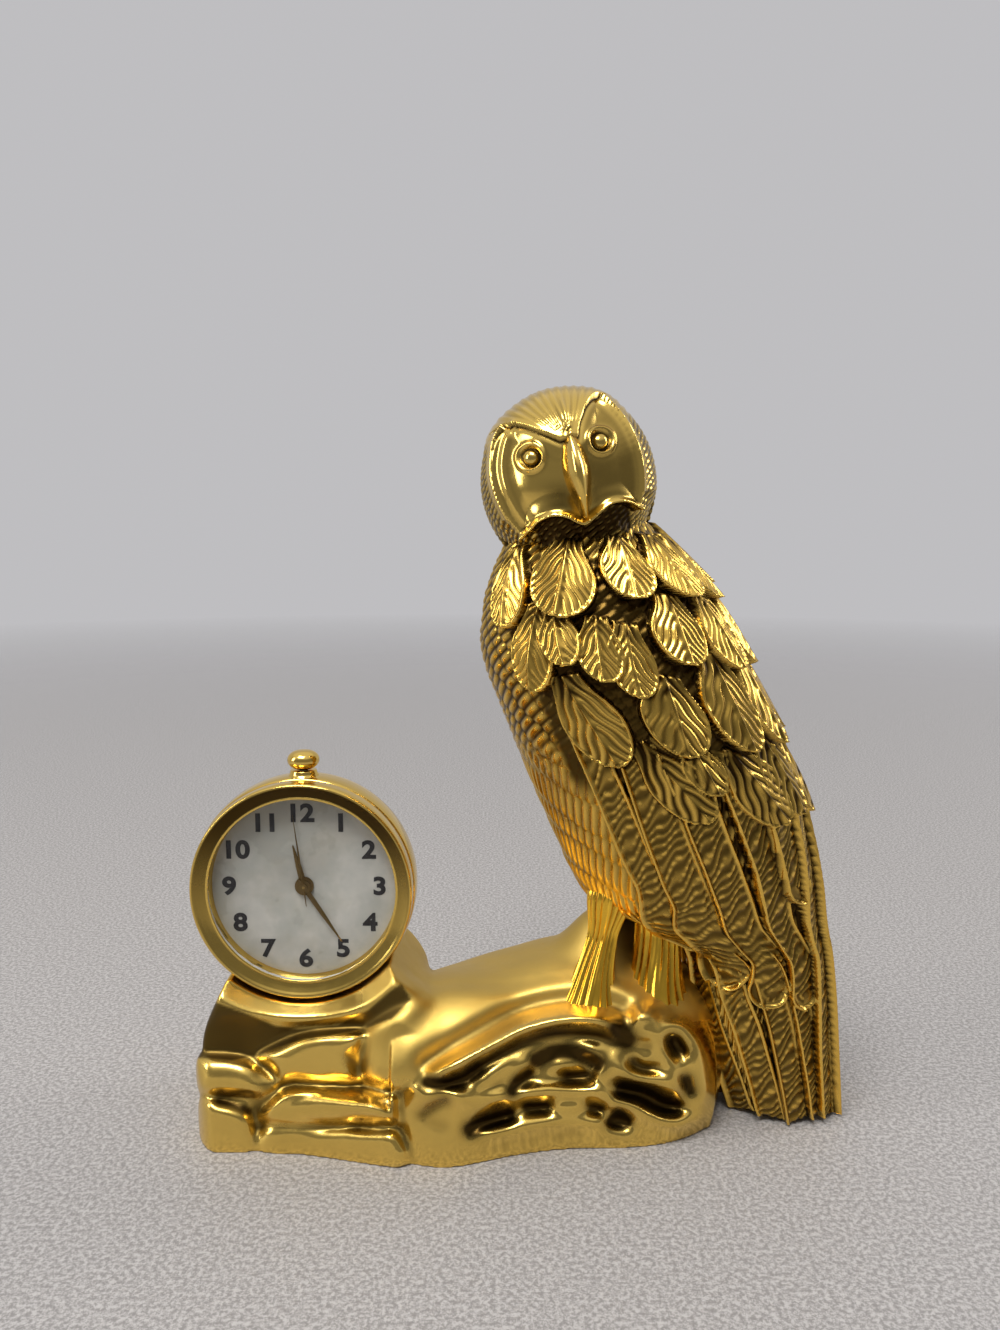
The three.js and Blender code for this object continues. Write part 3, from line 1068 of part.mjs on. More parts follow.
function crownTube() {
  const inner = STEM_RADIUS + RUN_GAP;
  return solid(alongStem([
    [inner, CASE_BORE + RUN_GAP], [CROWN_TUBE_RADIUS - 0.3, CASE_BORE + RUN_GAP],
    [CROWN_TUBE_RADIUS - 0.3, CASE_TOP + FIT_GAP], [CROWN_TUBE_RADIUS, CASE_TOP + FIT_GAP],
    [CROWN_TUBE_RADIUS, CASE_TOP + CROWN_TUBE_HEIGHT], [inner, CASE_TOP + CROWN_TUBE_HEIGHT],
  ], 12));
}

function caseBody() {
  const front = -BEZEL_DEPTH - FIT_GAP;
  const ring = turned([
    [CASE_BORE, front], [CASE_RADIUS - 0.15, front], [CASE_RADIUS, -CASE_DEPTH * 0.45],
    [CASE_RADIUS - 0.12, -CASE_DEPTH * 0.75], [CASE_RADIUS - 0.45, -CASE_DEPTH * 0.92],
    [CASE_RADIUS - CASE_EDGE, -CASE_DEPTH], [CASE_BORE, -CASE_DEPTH],
  ]);
  const foot = box(
    -FOOT.width / 2, FOOT.width / 2, -CASE_RADIUS - FOOT.height, -CASE_BORE - 0.3,
    -(CLOCK_FOOT_Y - CLOCK_FRONT_Y) - FOOT.depth / 2, -(CLOCK_FOOT_Y - CLOCK_FRONT_Y) + FOOT.depth / 2,
  );
  const stemHole = disc(CROWN_TUBE_RADIUS - 0.3 + FIT_GAP, CASE_BORE - 2, CASE_RADIUS + 2, 16);
  stemHole.rotateX(-Math.PI / 2).translate(0, 0, -STEM_DEPTH);
  const bite = CLOCK_SCREW.shank + RUN_GAP;
  const screwBore = disc(bite, -CASE_RADIUS - FOOT.height - 1, -CASE_RADIUS - FOOT.height + SCREW_BITE + RUN_GAP, 12);
  screwBore.rotateX(-Math.PI / 2).translate(0, 0, -(CLOCK_FOOT_Y - CLOCK_FRONT_Y));
  const bore = disc(CASE_BORE, -CASE_DEPTH - 1, 1);
  return solid(ring).add(solid(foot)).subtract(solid(bore)).subtract(solid(stemHole)).subtract(solid(screwBore));
}

function bezel() {
  const seat = CASE_BORE - FIT_GAP * 2;
  const rim = seat - GASKET_WIDTH;
  return turned([
    [DIAL_OPENING + BEZEL_SLOPE_WIDTH, 0], [CASE_RADIUS - 0.8, 0], [CASE_RADIUS - 0.4, -0.45],
    [CASE_RADIUS - 0.18, -BEZEL_DEPTH], [seat, -BEZEL_DEPTH], [seat, -BEZEL_DEPTH - BEZEL_SKIRT],
    [rim, -BEZEL_DEPTH - BEZEL_SKIRT], [rim, -BEZEL_SLOPE_DEPTH - BEZEL_LIP],
    [DIAL_OPENING, -BEZEL_SLOPE_DEPTH - BEZEL_LIP], [DIAL_OPENING, -BEZEL_SLOPE_DEPTH],
  ]);
}

const CRYSTAL_SEAT = CASE_BORE - FIT_GAP * 2 - GASKET_WIDTH;
const CRYSTAL_RADIUS = CRYSTAL_SEAT - GASKET_WIDTH - FIT_GAP * 2;

function handGeometry(length, width, hub, hole, z, angle, tail = 0) {
  const shape = new THREE.Shape();
  const tip = width * 0.2;
  shape.moveTo(-width / 2, 0);
  shape.lineTo(-width * 0.35, length * 0.55);
  shape.lineTo(-tip, length);
  shape.lineTo(tip, length);
  shape.lineTo(width * 0.35, length * 0.55);
  shape.lineTo(width / 2, 0);
  shape.lineTo(width / 2, -Math.max(tail, 0.01));
  shape.lineTo(-width / 2, -Math.max(tail, 0.01));
  const blade = solid(plate(shape, z, z + HAND_THICKNESS));
  const boss = solid(disc(hub, z, z + HAND_THICKNESS, 12));
  const pipe = solid(disc(hole, -9, 1, 12));
  return blade.add(boss).subtract(pipe).rotate([0, 0, -angle]);
}

function movementRing() {
  const inner = PLATE_RADIUS + FIT_GAP;
  const outer = CASE_BORE - FIT_GAP;
  const room = CROWN_TUBE_RADIUS;
  const ring = solid(tube(inner, outer, CASE_BACK_FRONT + RUN_GAP + 0.25, PLATE_FRONT + 0.4));
  const slot = box(-room, room, 0, CASE_BORE + 1, -STEM_DEPTH - room, 0);
  return ring.subtract(solid(slot));
}

function caseBack() {
  const outer = CASE_BORE - FIT_GAP;
  return turned([
    [0, -CASE_DEPTH], [outer, -CASE_DEPTH], [outer, CASE_BACK_FRONT - 0.25], [outer - 0.6, CASE_BACK_FRONT - 0.25],
    [outer - 0.6, CASE_BACK_FRONT], [0, CASE_BACK_FRONT],
  ]);
}

function backGasket() {
  const outer = CASE_BORE - FIT_GAP;
  const foot = CASE_BACK_FRONT - 0.25 + FIT_GAP;
  return tube(outer - 0.6 + FIT_GAP, outer, foot, foot + 0.3);
}

function buildClock() {
  const clock = new THREE.Group();
  const dialRadius = CRYSTAL_SEAT - FIT_GAP;
  const pieces = [
    named('case_body', caseBody(), gold()),
    named('bezel', bezel(), gold()),
    named('crystal', disc(CRYSTAL_RADIUS, CRYSTAL_BACK, CRYSTAL_FRONT), glass()),
    named('crystal_gasket', tube(CRYSTAL_RADIUS + FIT_GAP, CRYSTAL_SEAT - FIT_GAP, CRYSTAL_BACK, CRYSTAL_FRONT),
      plastic(0xd8d8d0)),
    named('dial', tube(DIAL_HOLE, dialRadius, DIAL_BACK, DIAL_FRONT), pearl()),
    named('hour_hand', handGeometry(HOUR_HAND_LENGTH, HOUR_HAND_WIDTH, HOUR_PIPE.outer + 0.25,
      HOUR_PIPE.outer + FIT_GAP, HOUR_HAND_Z, HOUR_HAND_ANGLE), darkGold()),
    named('minute_hand', handGeometry(MINUTE_HAND_LENGTH, MINUTE_HAND_WIDTH, CANNON_PIPE.outer + 0.25,
      CANNON_PIPE.outer + FIT_GAP, MINUTE_HAND_Z, MINUTE_HAND_ANGLE), darkGold()),
    named('second_hand', handGeometry(SECOND_HAND_LENGTH, SECOND_HAND_WIDTH, ARBOR_RADIUS + 0.2,
      ARBOR_RADIUS + FIT_GAP, SECOND_HAND_Z, SECOND_HAND_ANGLE, SECOND_HAND_TAIL), darkGold()),
    named('hour_wheel', hourWheel(), brass()),
    named('minute_wheel', minuteWheel(), brass()),
    named('centre_wheel', centreWheel(), brass()),
    named('third_wheel', thirdWheel(), brass()),
    named('fourth_wheel', fourthWheel(), brass()),
    named('intermediate_wheel', intermediateWheel(), brass()),
    named('rotor', rotor(), steel()),
    named('stator', stator(), steel()),
    named('coil_core', coilCore(), steel()),
    named('coil_winding', coilWinding(), copper()),
    named('main_plate', mainPlate(), brass()),
    named('train_bridge', trainBridge(), steel()),
    ...PILLARS.map((at, i) => named(`bridge_screw_${i + 1}`, bridgeScrew(at), steel())),
    named('battery', battery(), steel()),
    named('battery_strap', batteryStrap(), steel()),
    named('circuit_board', circuitBoard(), plastic(0x2f6b46)),
    named('quartz_can', quartzCan(), steel()),
    named('setting_lever', settingLever(), steel()),
    named('winding_stem', windingStem(), steel()),
    named('stem_pinion', stemPinion(), steel()),
    named('crown', crown(), gold()),
    named('crown_tube', crownTube(), gold()),
    named('movement_ring', movementRing(), plastic(0xe6e3da)),
    named('case_back', caseBack(), gold()),
    named('back_gasket', backGasket(), plastic(0x202020)),
  ];
  clock.add(...pieces);
  clock.rotation.x = Math.PI / 2;
  clock.position.set(CLOCK_X, CLOCK_FRONT_Y, CLOCK_Z);
  return clock;
}

const part = new THREE.Group();
part.add(
  named('rock_base', buildBase(), gold()),
  named('owl', buildOwl(), gold()),
  named('owl_screw', panScrew(OWL_SCREW, OWL_SCREW_PLACE), steel()),
  named('clock_screw', panScrew(CLOCK_SCREW, CLOCK_SCREW_PLACE), steel()),
  buildClock(),
);

// The origin goes to the middle of the underside.
part.updateMatrixWorld(true);
const bounds = new THREE.Box3().setFromObject(part);
const middle = bounds.getCenter(new THREE.Vector3());
part.position.set(-middle.x, -middle.y, -bounds.min.z);
part.updateMatrixWorld(true);

export default part;
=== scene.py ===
import math

import bmesh
import bpy
import numpy as np
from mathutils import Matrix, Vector


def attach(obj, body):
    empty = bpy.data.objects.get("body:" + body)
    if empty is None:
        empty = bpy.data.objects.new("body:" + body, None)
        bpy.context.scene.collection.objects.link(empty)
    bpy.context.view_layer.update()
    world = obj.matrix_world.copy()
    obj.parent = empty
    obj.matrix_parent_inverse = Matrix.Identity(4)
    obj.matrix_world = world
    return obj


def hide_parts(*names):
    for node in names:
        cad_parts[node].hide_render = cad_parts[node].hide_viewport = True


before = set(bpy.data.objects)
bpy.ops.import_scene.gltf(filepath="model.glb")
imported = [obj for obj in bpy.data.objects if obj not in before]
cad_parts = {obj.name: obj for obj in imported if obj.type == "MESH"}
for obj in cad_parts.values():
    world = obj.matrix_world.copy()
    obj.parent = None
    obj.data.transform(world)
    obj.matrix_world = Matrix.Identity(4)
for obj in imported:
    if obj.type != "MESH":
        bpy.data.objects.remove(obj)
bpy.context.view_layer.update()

# All modelling below is in millimetres in the source's own frame; SHIFT moves it to the row frame.
SHIFT = np.array([-0.16870, -0.03204, 0.0])

# Camera
# Focal length and the picture's long side, both in pixels, and the sensor's width in millimetres
F_PIXELS = 1000.0
LONG_SIDE = 1330.0
SENSOR = 36.0
CAMERA_AT = np.array([-2.5, -102.0, 60.8])
CAMERA_DROP = math.atan(0.13)


def show(name, data, material=None):
    """Object of some data, put into the scene."""
    if material:
        data.materials.append(material)
    made = bpy.data.objects.new(name, data)
    bpy.context.scene.collection.objects.link(made)
    return made


camera_data = bpy.data.cameras.new("camera")
camera = show("camera", camera_data)
camera_data.sensor_width = SENSOR
camera_data.lens = SENSOR * F_PIXELS / LONG_SIDE
camera_data.clip_start = 0.005
camera_data.clip_end = 50.0
camera.location = Vector((CAMERA_AT + SHIFT) / 1000)
camera.rotation_euler = (math.pi / 2 - CAMERA_DROP, 0, 0)
bpy.context.scene.camera = camera


# Nodes
class Shader:
    """A small builder for the nodes of a material or of the world."""

    def __init__(self, name, owner=None, surface="Principled BSDF", place="Object"):
        self.owner = owner or bpy.data.materials.new(name)
        self.owner.use_nodes = True
        self.tree = self.owner.node_tree
        self.surface = self.tree.nodes[surface]
        self.place = self.node("ShaderNodeTexCoord", {}, place)

    def feed(self, socket, value):
        """Gives a socket a number, a colour or what another node puts out."""
        if isinstance(value, (int, float)):
            socket.default_value = value
        elif isinstance(value, tuple):
            socket.default_value = (*value, 1.0)[:len(socket.default_value)]
        else:
            self.tree.links.new(value, socket)

    def node(self, kind, inputs, output=0, **values):
        made = self.tree.nodes.new(kind)
        for key, value in values.items():
            setattr(made, key, value)
        for key, value in inputs.items():
            self.feed(made.inputs[key], value)
        return made.outputs[output]

    def noise(self, scale, detail=3.0, rough=0.5):
        inputs = {"Vector": self.place, "Scale": scale, "Detail": detail, "Roughness": rough}
        return self.node("ShaderNodeTexNoise", inputs, "Fac")

    def span(self, value, low, high, to_low=0.0, to_high=1.0, **values):
        inputs = {"Value": value, "From Min": low, "From Max": high, "To Min": to_low, "To Max": to_high}
        return self.node("ShaderNodeMapRange", inputs, "Result", **values)

    def math(self, kind, a, b):
        return self.node("ShaderNodeMath", {0: a, 1: b}, operation=kind)

    def blend(self, fac, a, b):
        return self.node("ShaderNodeMix", {0: fac, 6: a, 7: b}, 2, data_type="RGBA")

    def attribute(self, name):
        return self.node("ShaderNodeAttribute", {}, "Fac", attribute_name=name)

    def bump(self, height, strength, distance):
        inputs = {"Height": height, "Strength": strength, "Distance": distance}
        self.put("Normal", self.node("ShaderNodeBump", inputs, "Normal"))

    def put(self, name, value):
        self.feed(self.surface.inputs[name], value)


def gold(name, light, dark, rough_low, rough_high, grain, depth, recess=None, satin=None):
    """Gold plate: a warm metal with painted shade in its recesses, darker and duller there, and fine casting
    grain.
    """
    made = Shader(name)
    made.put("Metallic", 1.0)
    tone = made.span(made.noise(260.0, 2.0), 0.3, 0.7)
    colour = made.blend(tone, light, tuple(0.93 * c for c in light))
    rough = made.span(made.noise(900.0, 4.0, 0.6), 0.3, 0.7, rough_low, rough_high)
    # painted shade: the painted number turns the colour towards the dark one
    if recess:
        cavity = made.attribute(recess)
        colour = made.blend(cavity, colour, dark)
        rough = made.math("ADD", rough, made.math("MULTIPLY", cavity, 0.18))
    if satin:
        rough = made.math("ADD", rough, made.math("MULTIPLY", made.attribute(satin), 0.2))
    made.put("Base Color", colour)
    made.put("Roughness", rough)
    made.bump(made.noise(grain, 4.0, 0.6), 0.25, depth)
    return made.owner


GOLD_LIGHT = (0.84, 0.575, 0.14)
# Colour of the painted shade in hollows
GOLD_DARK = (0.036, 0.019, 0.005)
GOLD_WARM = (1.0, 0.60, 0.06)

gold_polished = gold("gold_polished", GOLD_LIGHT, GOLD_DARK, 0.09, 0.17, 700.0, 0.00003)
gold_base = gold("gold_base", GOLD_LIGHT, GOLD_DARK, 0.12, 0.2, 420.0, 0.00005, "cavity", "satin")
gold_feather = gold("gold_feather", (0.90, 0.57, 0.11), GOLD_DARK, 0.12, 0.22, 1100.0, 0.00004, "cavity")
gold_leg = gold("gold_leg", GOLD_WARM, (0.10, 0.035, 0.004), 0.12, 0.22, 900.0, 0.00003, "cavity")
gold_face = gold("gold_face", GOLD_LIGHT, GOLD_DARK, 0.1, 0.17, 600.0, 0.00003, "cavity")


# Meshes and shapes
def smooth_faces(mesh, smooth=True):
    mesh.polygons.foreach_set("use_smooth", np.full(len(mesh.polygons), smooth))


def paint(mesh, name, values):
    """Gives each vertex a number under a name that the materials read."""
    layer = mesh.attributes.new(name, "FLOAT", "POINT")
    layer.data.foreach_set("value", np.asarray(values, np.float32))


def mesh_object(name, points, faces, material, smooth=True, **layers):
    """Object from points in millimetres, its faces and the numbers painted on its vertices."""
    mesh = bpy.data.meshes.new(name)
    mesh.from_pydata((np.asarray(points, float) + SHIFT) / 1000.0, [], faces)
    smooth_faces(mesh, smooth)
    for layer, values in layers.items():
        paint(mesh, layer, values)
    return show(name, mesh, material)


def tube(name, points, cavity, material, flipped=False):
    """Tube through rows of points, closed by a fan at both ends whose rims stay crisp."""
    rows, columns = points.shape[:2]
    a = np.arange((rows - 1) * columns)
    b = a - a % columns + (a + 1) % columns
    quads = np.stack([a, b, b + columns, a + columns], -1)[:, ::-1 if flipped else 1]
    points = points.reshape(-1, 3)
    rings = [np.arange(columns)[::-1], np.arange(columns) + (rows - 1) * columns]
    fans = [np.stack([ring, np.roll(ring, -1), np.full(columns, len(points) + order)], -1)
            for order, ring in enumerate(rings)]
    triangles = np.concatenate([quads[:, [0, 1, 2]], quads[:, [0, 2, 3]], *fans])
    points = np.concatenate([points, [points[ring].mean(axis=0) for ring in rings]])
    made = mesh_object(name, points, triangles, material, cavity=np.append(cavity, (0, 0)))
    rim = np.zeros(len(points), np.int32)
    for order, ring in enumerate(rings):
        rim[ring] = order + 1
    ends = np.zeros(len(made.data.edges) * 2, np.int32)
    made.data.edges.foreach_get("vertices", ends)
    ends = rim[ends.reshape(-1, 2)]
    sharp = made.data.attributes.new("sharp_edge", "BOOLEAN", "EDGE")
    sharp.data.foreach_set("value", (ends[:, 0] > 0) & (ends[:, 0] == ends[:, 1]))
    return made


def smoothstep(x, low, high):
    t = np.clip((x - low) / (high - low), 0, 1)
    return t * t * (3 - 2 * t)


def band(x, low, full, fade, high):
    """1 from full to fade, easing to 0 at low and at high."""
    return smoothstep(x, low, full) * (1 - smoothstep(x, fade, high))


def hump(gap, wide):
    """Bell-shaped share: 1 at no distance, nearly 0 at twice the width."""
    return np.exp(-(gap / wide) ** 2)


def path_place(x, y, path):
    """Distance to a line of points, the side of it, the way along it there and its whole length."""
    best = np.full(np.shape(x), 1e9)
    side, way, done = np.zeros(best.shape), np.zeros(best.shape), 0.0
    for (ax, ay), (bx, by) in zip(path[:-1], path[1:]):
        dx, dy = bx - ax, by - ay
        length = math.hypot(dx, dy)
        t = np.clip(((x - ax) * dx + (y - ay) * dy) / length**2, 0, 1)
        gap = np.hypot(x - ax - t * dx, y - ay - t * dy)
        near = gap < best
        best = np.where(near, gap, best)
        side = np.where(near, np.sign(dx * (y - ay) - dy * (x - ax)), side)
        way = np.where(near, done + t * length, way)
        done += length
    return best, side, way, done


def gap_to(x, y, path):
    """Distance of places to a line of points."""
    return path_place(x, y, path)[0]


def inside_polygon(x, y, path):
    """True where places lie in a closed polygon."""
    odd = np.zeros(np.shape(x), bool)
    path = np.asarray(path, float)
    for (ax, ay), (bx, by) in zip(path, np.roll(path, -1, axis=0)):
        crosses = (ay > y) != (by > y)
        with np.errstate(divide="ignore", invalid="ignore"):
            at = (bx - ax) * (y - ay) / (by - ay) + ax
        odd ^= crosses & (x < at)
    return odd


def smooth_path(points, count, closed=False):
    """Even points on a Catmull-Rom curve through the given ones."""
    points = np.asarray(points, float)
    last = len(points)
    steps = last if closed else last - 1
    made = []
    for i in range(steps):
        pick = [(i + k) % last if closed else min(max(i + k, 0), last - 1) for k in (-1, 0, 1, 2)]
        p0, p1, p2, p3 = points[pick]
        for t in np.linspace(0, 1, count, endpoint=False):
            made.append(0.5 * (2 * p1 + (p2 - p0) * t + (2 * p0 - 5 * p1 + 4 * p2 - p3) * t**2
                               + (3 * p1 - 3 * p2 + p3 - p0) * t**3))
    if not closed:
        made.append(points[-1])
    return np.array(made)


def hermite(stations, values, t):
    """Cubic through stations, the same curve as the solid's."""
    z, v = np.asarray(stations, float), np.asarray(values, float)
    i = np.clip(np.searchsorted(z, t), 1, len(z) - 1)
    before, after = np.maximum(i - 2, 0), np.minimum(i + 1, len(z) - 1)
    span = z[i] - z[i - 1]
    f = np.clip((t - z[i - 1]) / span, 0, 1)
    m0 = (v[i] - v[before]) / (z[i] - z[before]) * span
    m1 = (v[after] - v[i - 1]) / (z[after] - z[i - 1]) * span
    return ((2 * f**3 - 3 * f**2 + 1) * v[i - 1] + (f**3 - 2 * f**2 + f) * m0
            + (3 * f**2 - 2 * f**3) * v[i] + (f**3 - f**2) * m1)


# Owl body
OWL_Y = 0.4
BODY = np.array([
    # height, breast edge, back edge, half width
    (0.3, 21.9, 34.2, 5.2), (4.0, 20.6, 33.9, 5.7), (9.0, 18.9, 33.3, 6.3), (14.0, 17.8, 32.6, 6.8),
    (18.4, 16.4, 31.8, 7.3), (20.4, 12.0, 31.4, 7.6), (22.4, 7.4, 31.1, 8.1), (25.0, 5.2, 30.7, 8.8),
    (30.0, 2.9, 29.6, 10.0), (36.0, 0.3, 27.9, 10.9), (43.0, -2.5, 24.8, 11.4), (49.0, -4.6, 21.9, 11.1),
    (54.5, -4.3, 19.0, 9.9), (59.0, -2.7, 15.4, 8.2), (62.5, -0.6, 12.2, 6.2),
])
# Leaf feathers of one wing: root and tip as angle round the body and height, then width
COVERTS = [
    ((52, 42), (58, 33.4), 6.2), ((30, 40.6), (44, 33.0), 6.4), ((-4, 41.6), (9, 34.0), 5.9),
    ((76, 42), (82, 32.6), 6.0), ((14, 41.6), (16, 36.6), 4.2),
    ((66, 50), (66, 40.4), 6.0), ((-25, 47.6), (-16, 39.4), 6.3), ((15, 47.8), (10, 40.4), 6.2),
    ((42, 49.6), (39, 40.4), 6.2), ((90, 51), (90, 41), 6.0),
    ((-32, 54.0), (-39, 46.2), 4.4), ((-24, 53.8), (-21, 48.8), 4.0), ((-6, 53.2), (-8, 47.4), 4.4),
    ((6, 52.6), (2, 46.0), 4.6), ((30, 55.2), (27, 48.8), 5.4), ((54, 55.0), (56, 48.0), 5.2),
    ((78, 56.0), (80, 48.0), 5.2), ((-52, 59.6), (-47, 52.0), 4.2), ((-15, 60.4), (-22, 53.3), 6.0),
    ((18, 60.6), (12, 55.0), 4.9), ((46, 60.8), (44, 55.0), 5.4), ((72, 60.8), (70, 54.6), 5.2),
    ((90, 62.0), (90, 56.0), 4.4),
]
# Long feathers: middle line from root to tip as angle and height, width at the root and at the tip.
# The left edge of each lies over the feather before it.
FLIGHTS = [
    ([(-27, 44), (-25, 36), (-24, 30), (-22, 26), (-30, 21.6), (-44, 19.6)], 3.0, 3.2),
    ([(-8, 41), (-9, 34), (-8, 28), (-7, 24), (-18, 19.8), (-38, 17.0)], 4.0, 4.6),
    ([(7, 40), (8, 33), (10, 28), (11, 23), (4, 18.6), (-4, 15.4)], 4.0, 4.0),
    ([(27, 40), (29, 33), (31, 27), (30, 21), (27, 17.6), (24, 14.8)], 4.2, 3.4),
    ([(46, 36), (46, 31), (47, 26.2)], 4.6, 4.2),
    ([(66, 40), (64, 32), (58, 24), (49, 17), (42, 10), (38, 4), (37, -1.5)], 4.0, 2.6),
    ([(84, 40), (82, 32), (78, 24), (70, 17), (64, 10), (60, 4), (60, -1.5)], 3.8, 2.6),
]
TAIL = [
    ([(-84, 19), (-84, 10), (-80, 4), (-78, -1.5)], 2.4, 2.4),
    ([(-66, 19), (-62, 13), (-54, 7), (-50, -1.5)], 2.8, 2.8),
    ([(-36, 19), (-30, 14), (-22, 9), (-19, -1.5)], 2.9, 2.9),
    ([(-6, 19), (0, 14), (4, 9), (6, -1.5)], 2.9, 2.9),
    ([(18, 19), (22, 14), (24, 9), (26, -1.5)], 2.8, 2.4),
]
COVERT_LIFT = 1.2
FLIGHT_LIFT = 0.7
BARB_LEAN = math.radians(38)
BARB_PITCH = 0.7
LEAF_BARB_LEAN = math.radians(28)
LEAF_BARB_PITCH = 0.56
COARSE_BARB_PITCH = 0.86
# Leaf feathers whose tips end below this height have the coarse barbs
COARSE_BELOW = 42
RIB_HEIGHT = 0.16
LEAF_BARB_DEPTH = 0.2
BARB_DEPTH = 0.17
# How far a long feather's field lies below its edges, and how high its left edge stands
BLADE_SINK = 0.14
BEAD_HEIGHT = 0.3
# Millimetres of surface for one degree, near enough for the engraved strokes
STROKE_SCALE = 0.19
# The plain breast lies this far under the solid's body, its strokes rise this much
BREAST_SINK = 0.35
STROKE_HEIGHT = 0.22


def body_point(angle, z, lift):
    """Place on the body at an angle round it, 0 facing the viewer, and a height."""
    breast, back, half = (hermite(BODY[:, 0], BODY[:, k], z) for k in (1, 2, 3))
    x = (breast + back) / 2 + ((back - breast) / 2 + lift) * np.sin(angle)
    y = OWL_Y - (half + lift) * np.cos(angle)
    return np.stack([x, y, z + 0 * x], -1)


def girth_per_degree(angle, z):
    """Millimetres of surface for one degree round the body."""
    a = body_point(np.radians(angle - 0.5), np.asarray(z, float), 0.0)
    b = body_point(np.radians(angle + 0.5), np.asarray(z, float), 0.0)
    return np.linalg.norm(a - b, axis=-1)


def leaf_width(u):
    """Share of a leaf feather's width along it: narrow root, full middle, round tip."""
    tip = np.sqrt(np.clip(1 - ((u - 0.5) / 0.5) ** 2, 0, 1))
    root = 0.55 + 0.45 * smoothstep(u, 0.0, 0.5)
    return np.where(u > 0.5, tip, root)


def lay(height, tone, near, value, shade):
    """Puts a feather into the height field wherever it lies above it, with its painted shade."""
    over = value > height[near]
    height[near] = np.where(over, value, height[near])
    tone[near] = np.where(over, shade, tone[near])


def lay_leaf(height, tone, angle, z, root, tip, width, rank):
    """Leaf feather with a middle rib and barbs."""
    middle = (root[1] + tip[1]) / 2
    per_degree = girth_per_degree((root[0] + tip[0]) / 2, middle)
    dx, dz = (tip[0] - root[0]) * per_degree, tip[1] - root[1]
    length = math.hypot(dx, dz)
    px = (angle - root[0]) * per_degree
    pz = z - root[1]
    along = (px * dx + pz * dz) / length
    across = (px * -dz + pz * dx) / length
    u = along / length
    half = width / 2
    near = (u > -0.02) & (u < 1.02) & (np.abs(across) < half + 0.2)
    if not near.any():
        return
    u, along, across = u[near], along[near], across[near]
    edge = half * leaf_width(u) - np.abs(across)
    edge = np.minimum(edge, (1 - u) * length * 1.6)
    v = across / half
    top = COVERT_LIFT * (0.06 + 0.94 * np.clip(u, 0, 1) ** 0.8) * (1 - 0.42 * v**2) + rank
    fan = along * math.sin(LEAF_BARB_LEAN) - np.abs(across) * math.cos(LEAF_BARB_LEAN)
    coarse = tip[1] < COARSE_BELOW
    fan = fan + 0.12 * np.sin(along * 2.1 + tip[0])
    barbs = 0.5 + 0.5 * np.cos(2 * np.pi * fan / (COARSE_BARB_PITCH if coarse else LEAF_BARB_PITCH))
    depth = LEAF_BARB_DEPTH * smoothstep(edge, 0.12, 0.5) * smoothstep(np.abs(across), 0.1, 0.4)
    top = top - depth * (1 - barbs**0.8)
    top = top + RIB_HEIGHT * (hump(across, 0.17) + hump(edge - 0.18, 0.15))
    # painted shade: darker between the barbs, lower down the body, at the root under the feather above and
    # along the edges
    low = 1 - smoothstep(z[near], 36, 50)
    shade = (0.5 + 0.4 * low) * (1 - barbs) ** (1.0 if coarse else 1.4) * smoothstep(edge, 0.2, 0.45)
    shade = shade + 0.6 * (1 - smoothstep(u, 0.05, 0.42)) + 0.1 * low * smoothstep(edge, 0.25, 0.5)
    value = np.where(edge > -0.06, top * smoothstep(edge, -0.06, 0.14), -1.0)
    lay(height, tone, near, value, np.where(edge < 0.02, 1.0, shade))


def lay_blade(height, tone, angle, z, girth, points, wide_root, wide_tip, rank):
    """Long feather with a raised left edge and slanting barbs."""
    path = smooth_path(points, 5)
    near = (z < path[:, 1].max() + 0.5) & (z > path[:, 1].min() - 3) \
        & (angle > path[:, 0].min() - 30) & (angle < path[:, 0].max() + 30)
    if not near.any():
        return
    # unrolled from the feather's mean angle, in millimetres
    centre = path[:, 0].mean()
    per_degree = girth_per_degree(path[:, 0], np.maximum(path[:, 1], BODY[0, 0]))
    here = np.stack([(path[:, 0] - centre) * per_degree, path[:, 1]], -1)
    gap, side, down, length = path_place((angle[near] - centre) * girth[near], z[near], here)
    across = gap * side
    u = down / length
    half = (wide_root + (wide_tip - wide_root) * u) / 2
    edge = half - np.abs(across)
    v = np.clip(across / half, -1, 1)
    top = FLIGHT_LIFT * (0.4 + 0.6 * smoothstep(u, 0, 0.5)) * (0.6 - 0.4 * v) + rank
    wobble = 0.26 * np.sin(down * 0.9 + points[0][0]) + 0.17 * np.sin(across * 3.1 + down * 1.3)
    fan = across * math.sin(BARB_LEAN) + down * math.cos(BARB_LEAN) + wobble
    barbs = 0.5 + 0.5 * np.cos(2 * np.pi * fan / BARB_PITCH)
    inner = smoothstep(edge, 0.3, 0.5)
    top = top - BLADE_SINK * inner - BARB_DEPTH * (1 - barbs**0.7) * inner
    bead = hump(edge - 0.2, 0.17)
    top = top + np.where((v < 0) | (u > 0.99), BEAD_HEIGHT, 0.02) * bead
    # painted glints brighten some barbs; painted shade lies between the barbs and along the edges
    glint = np.sin(down * 3.1 + across * 4.0 + points[0][0]) + np.sin(down * 6.7 - across * 2.9)
    glint = smoothstep(glint, 0.1, 1.3)
    shade = inner * (0.88 - (0.34 + 0.54 * glint) * barbs**1.5)
    value = np.where(edge > -0.06, top * smoothstep(edge, -0.06, 0.12), -1.0)
    lay(height, tone, near, value, np.where(edge < 0.02, 1.0, shade))


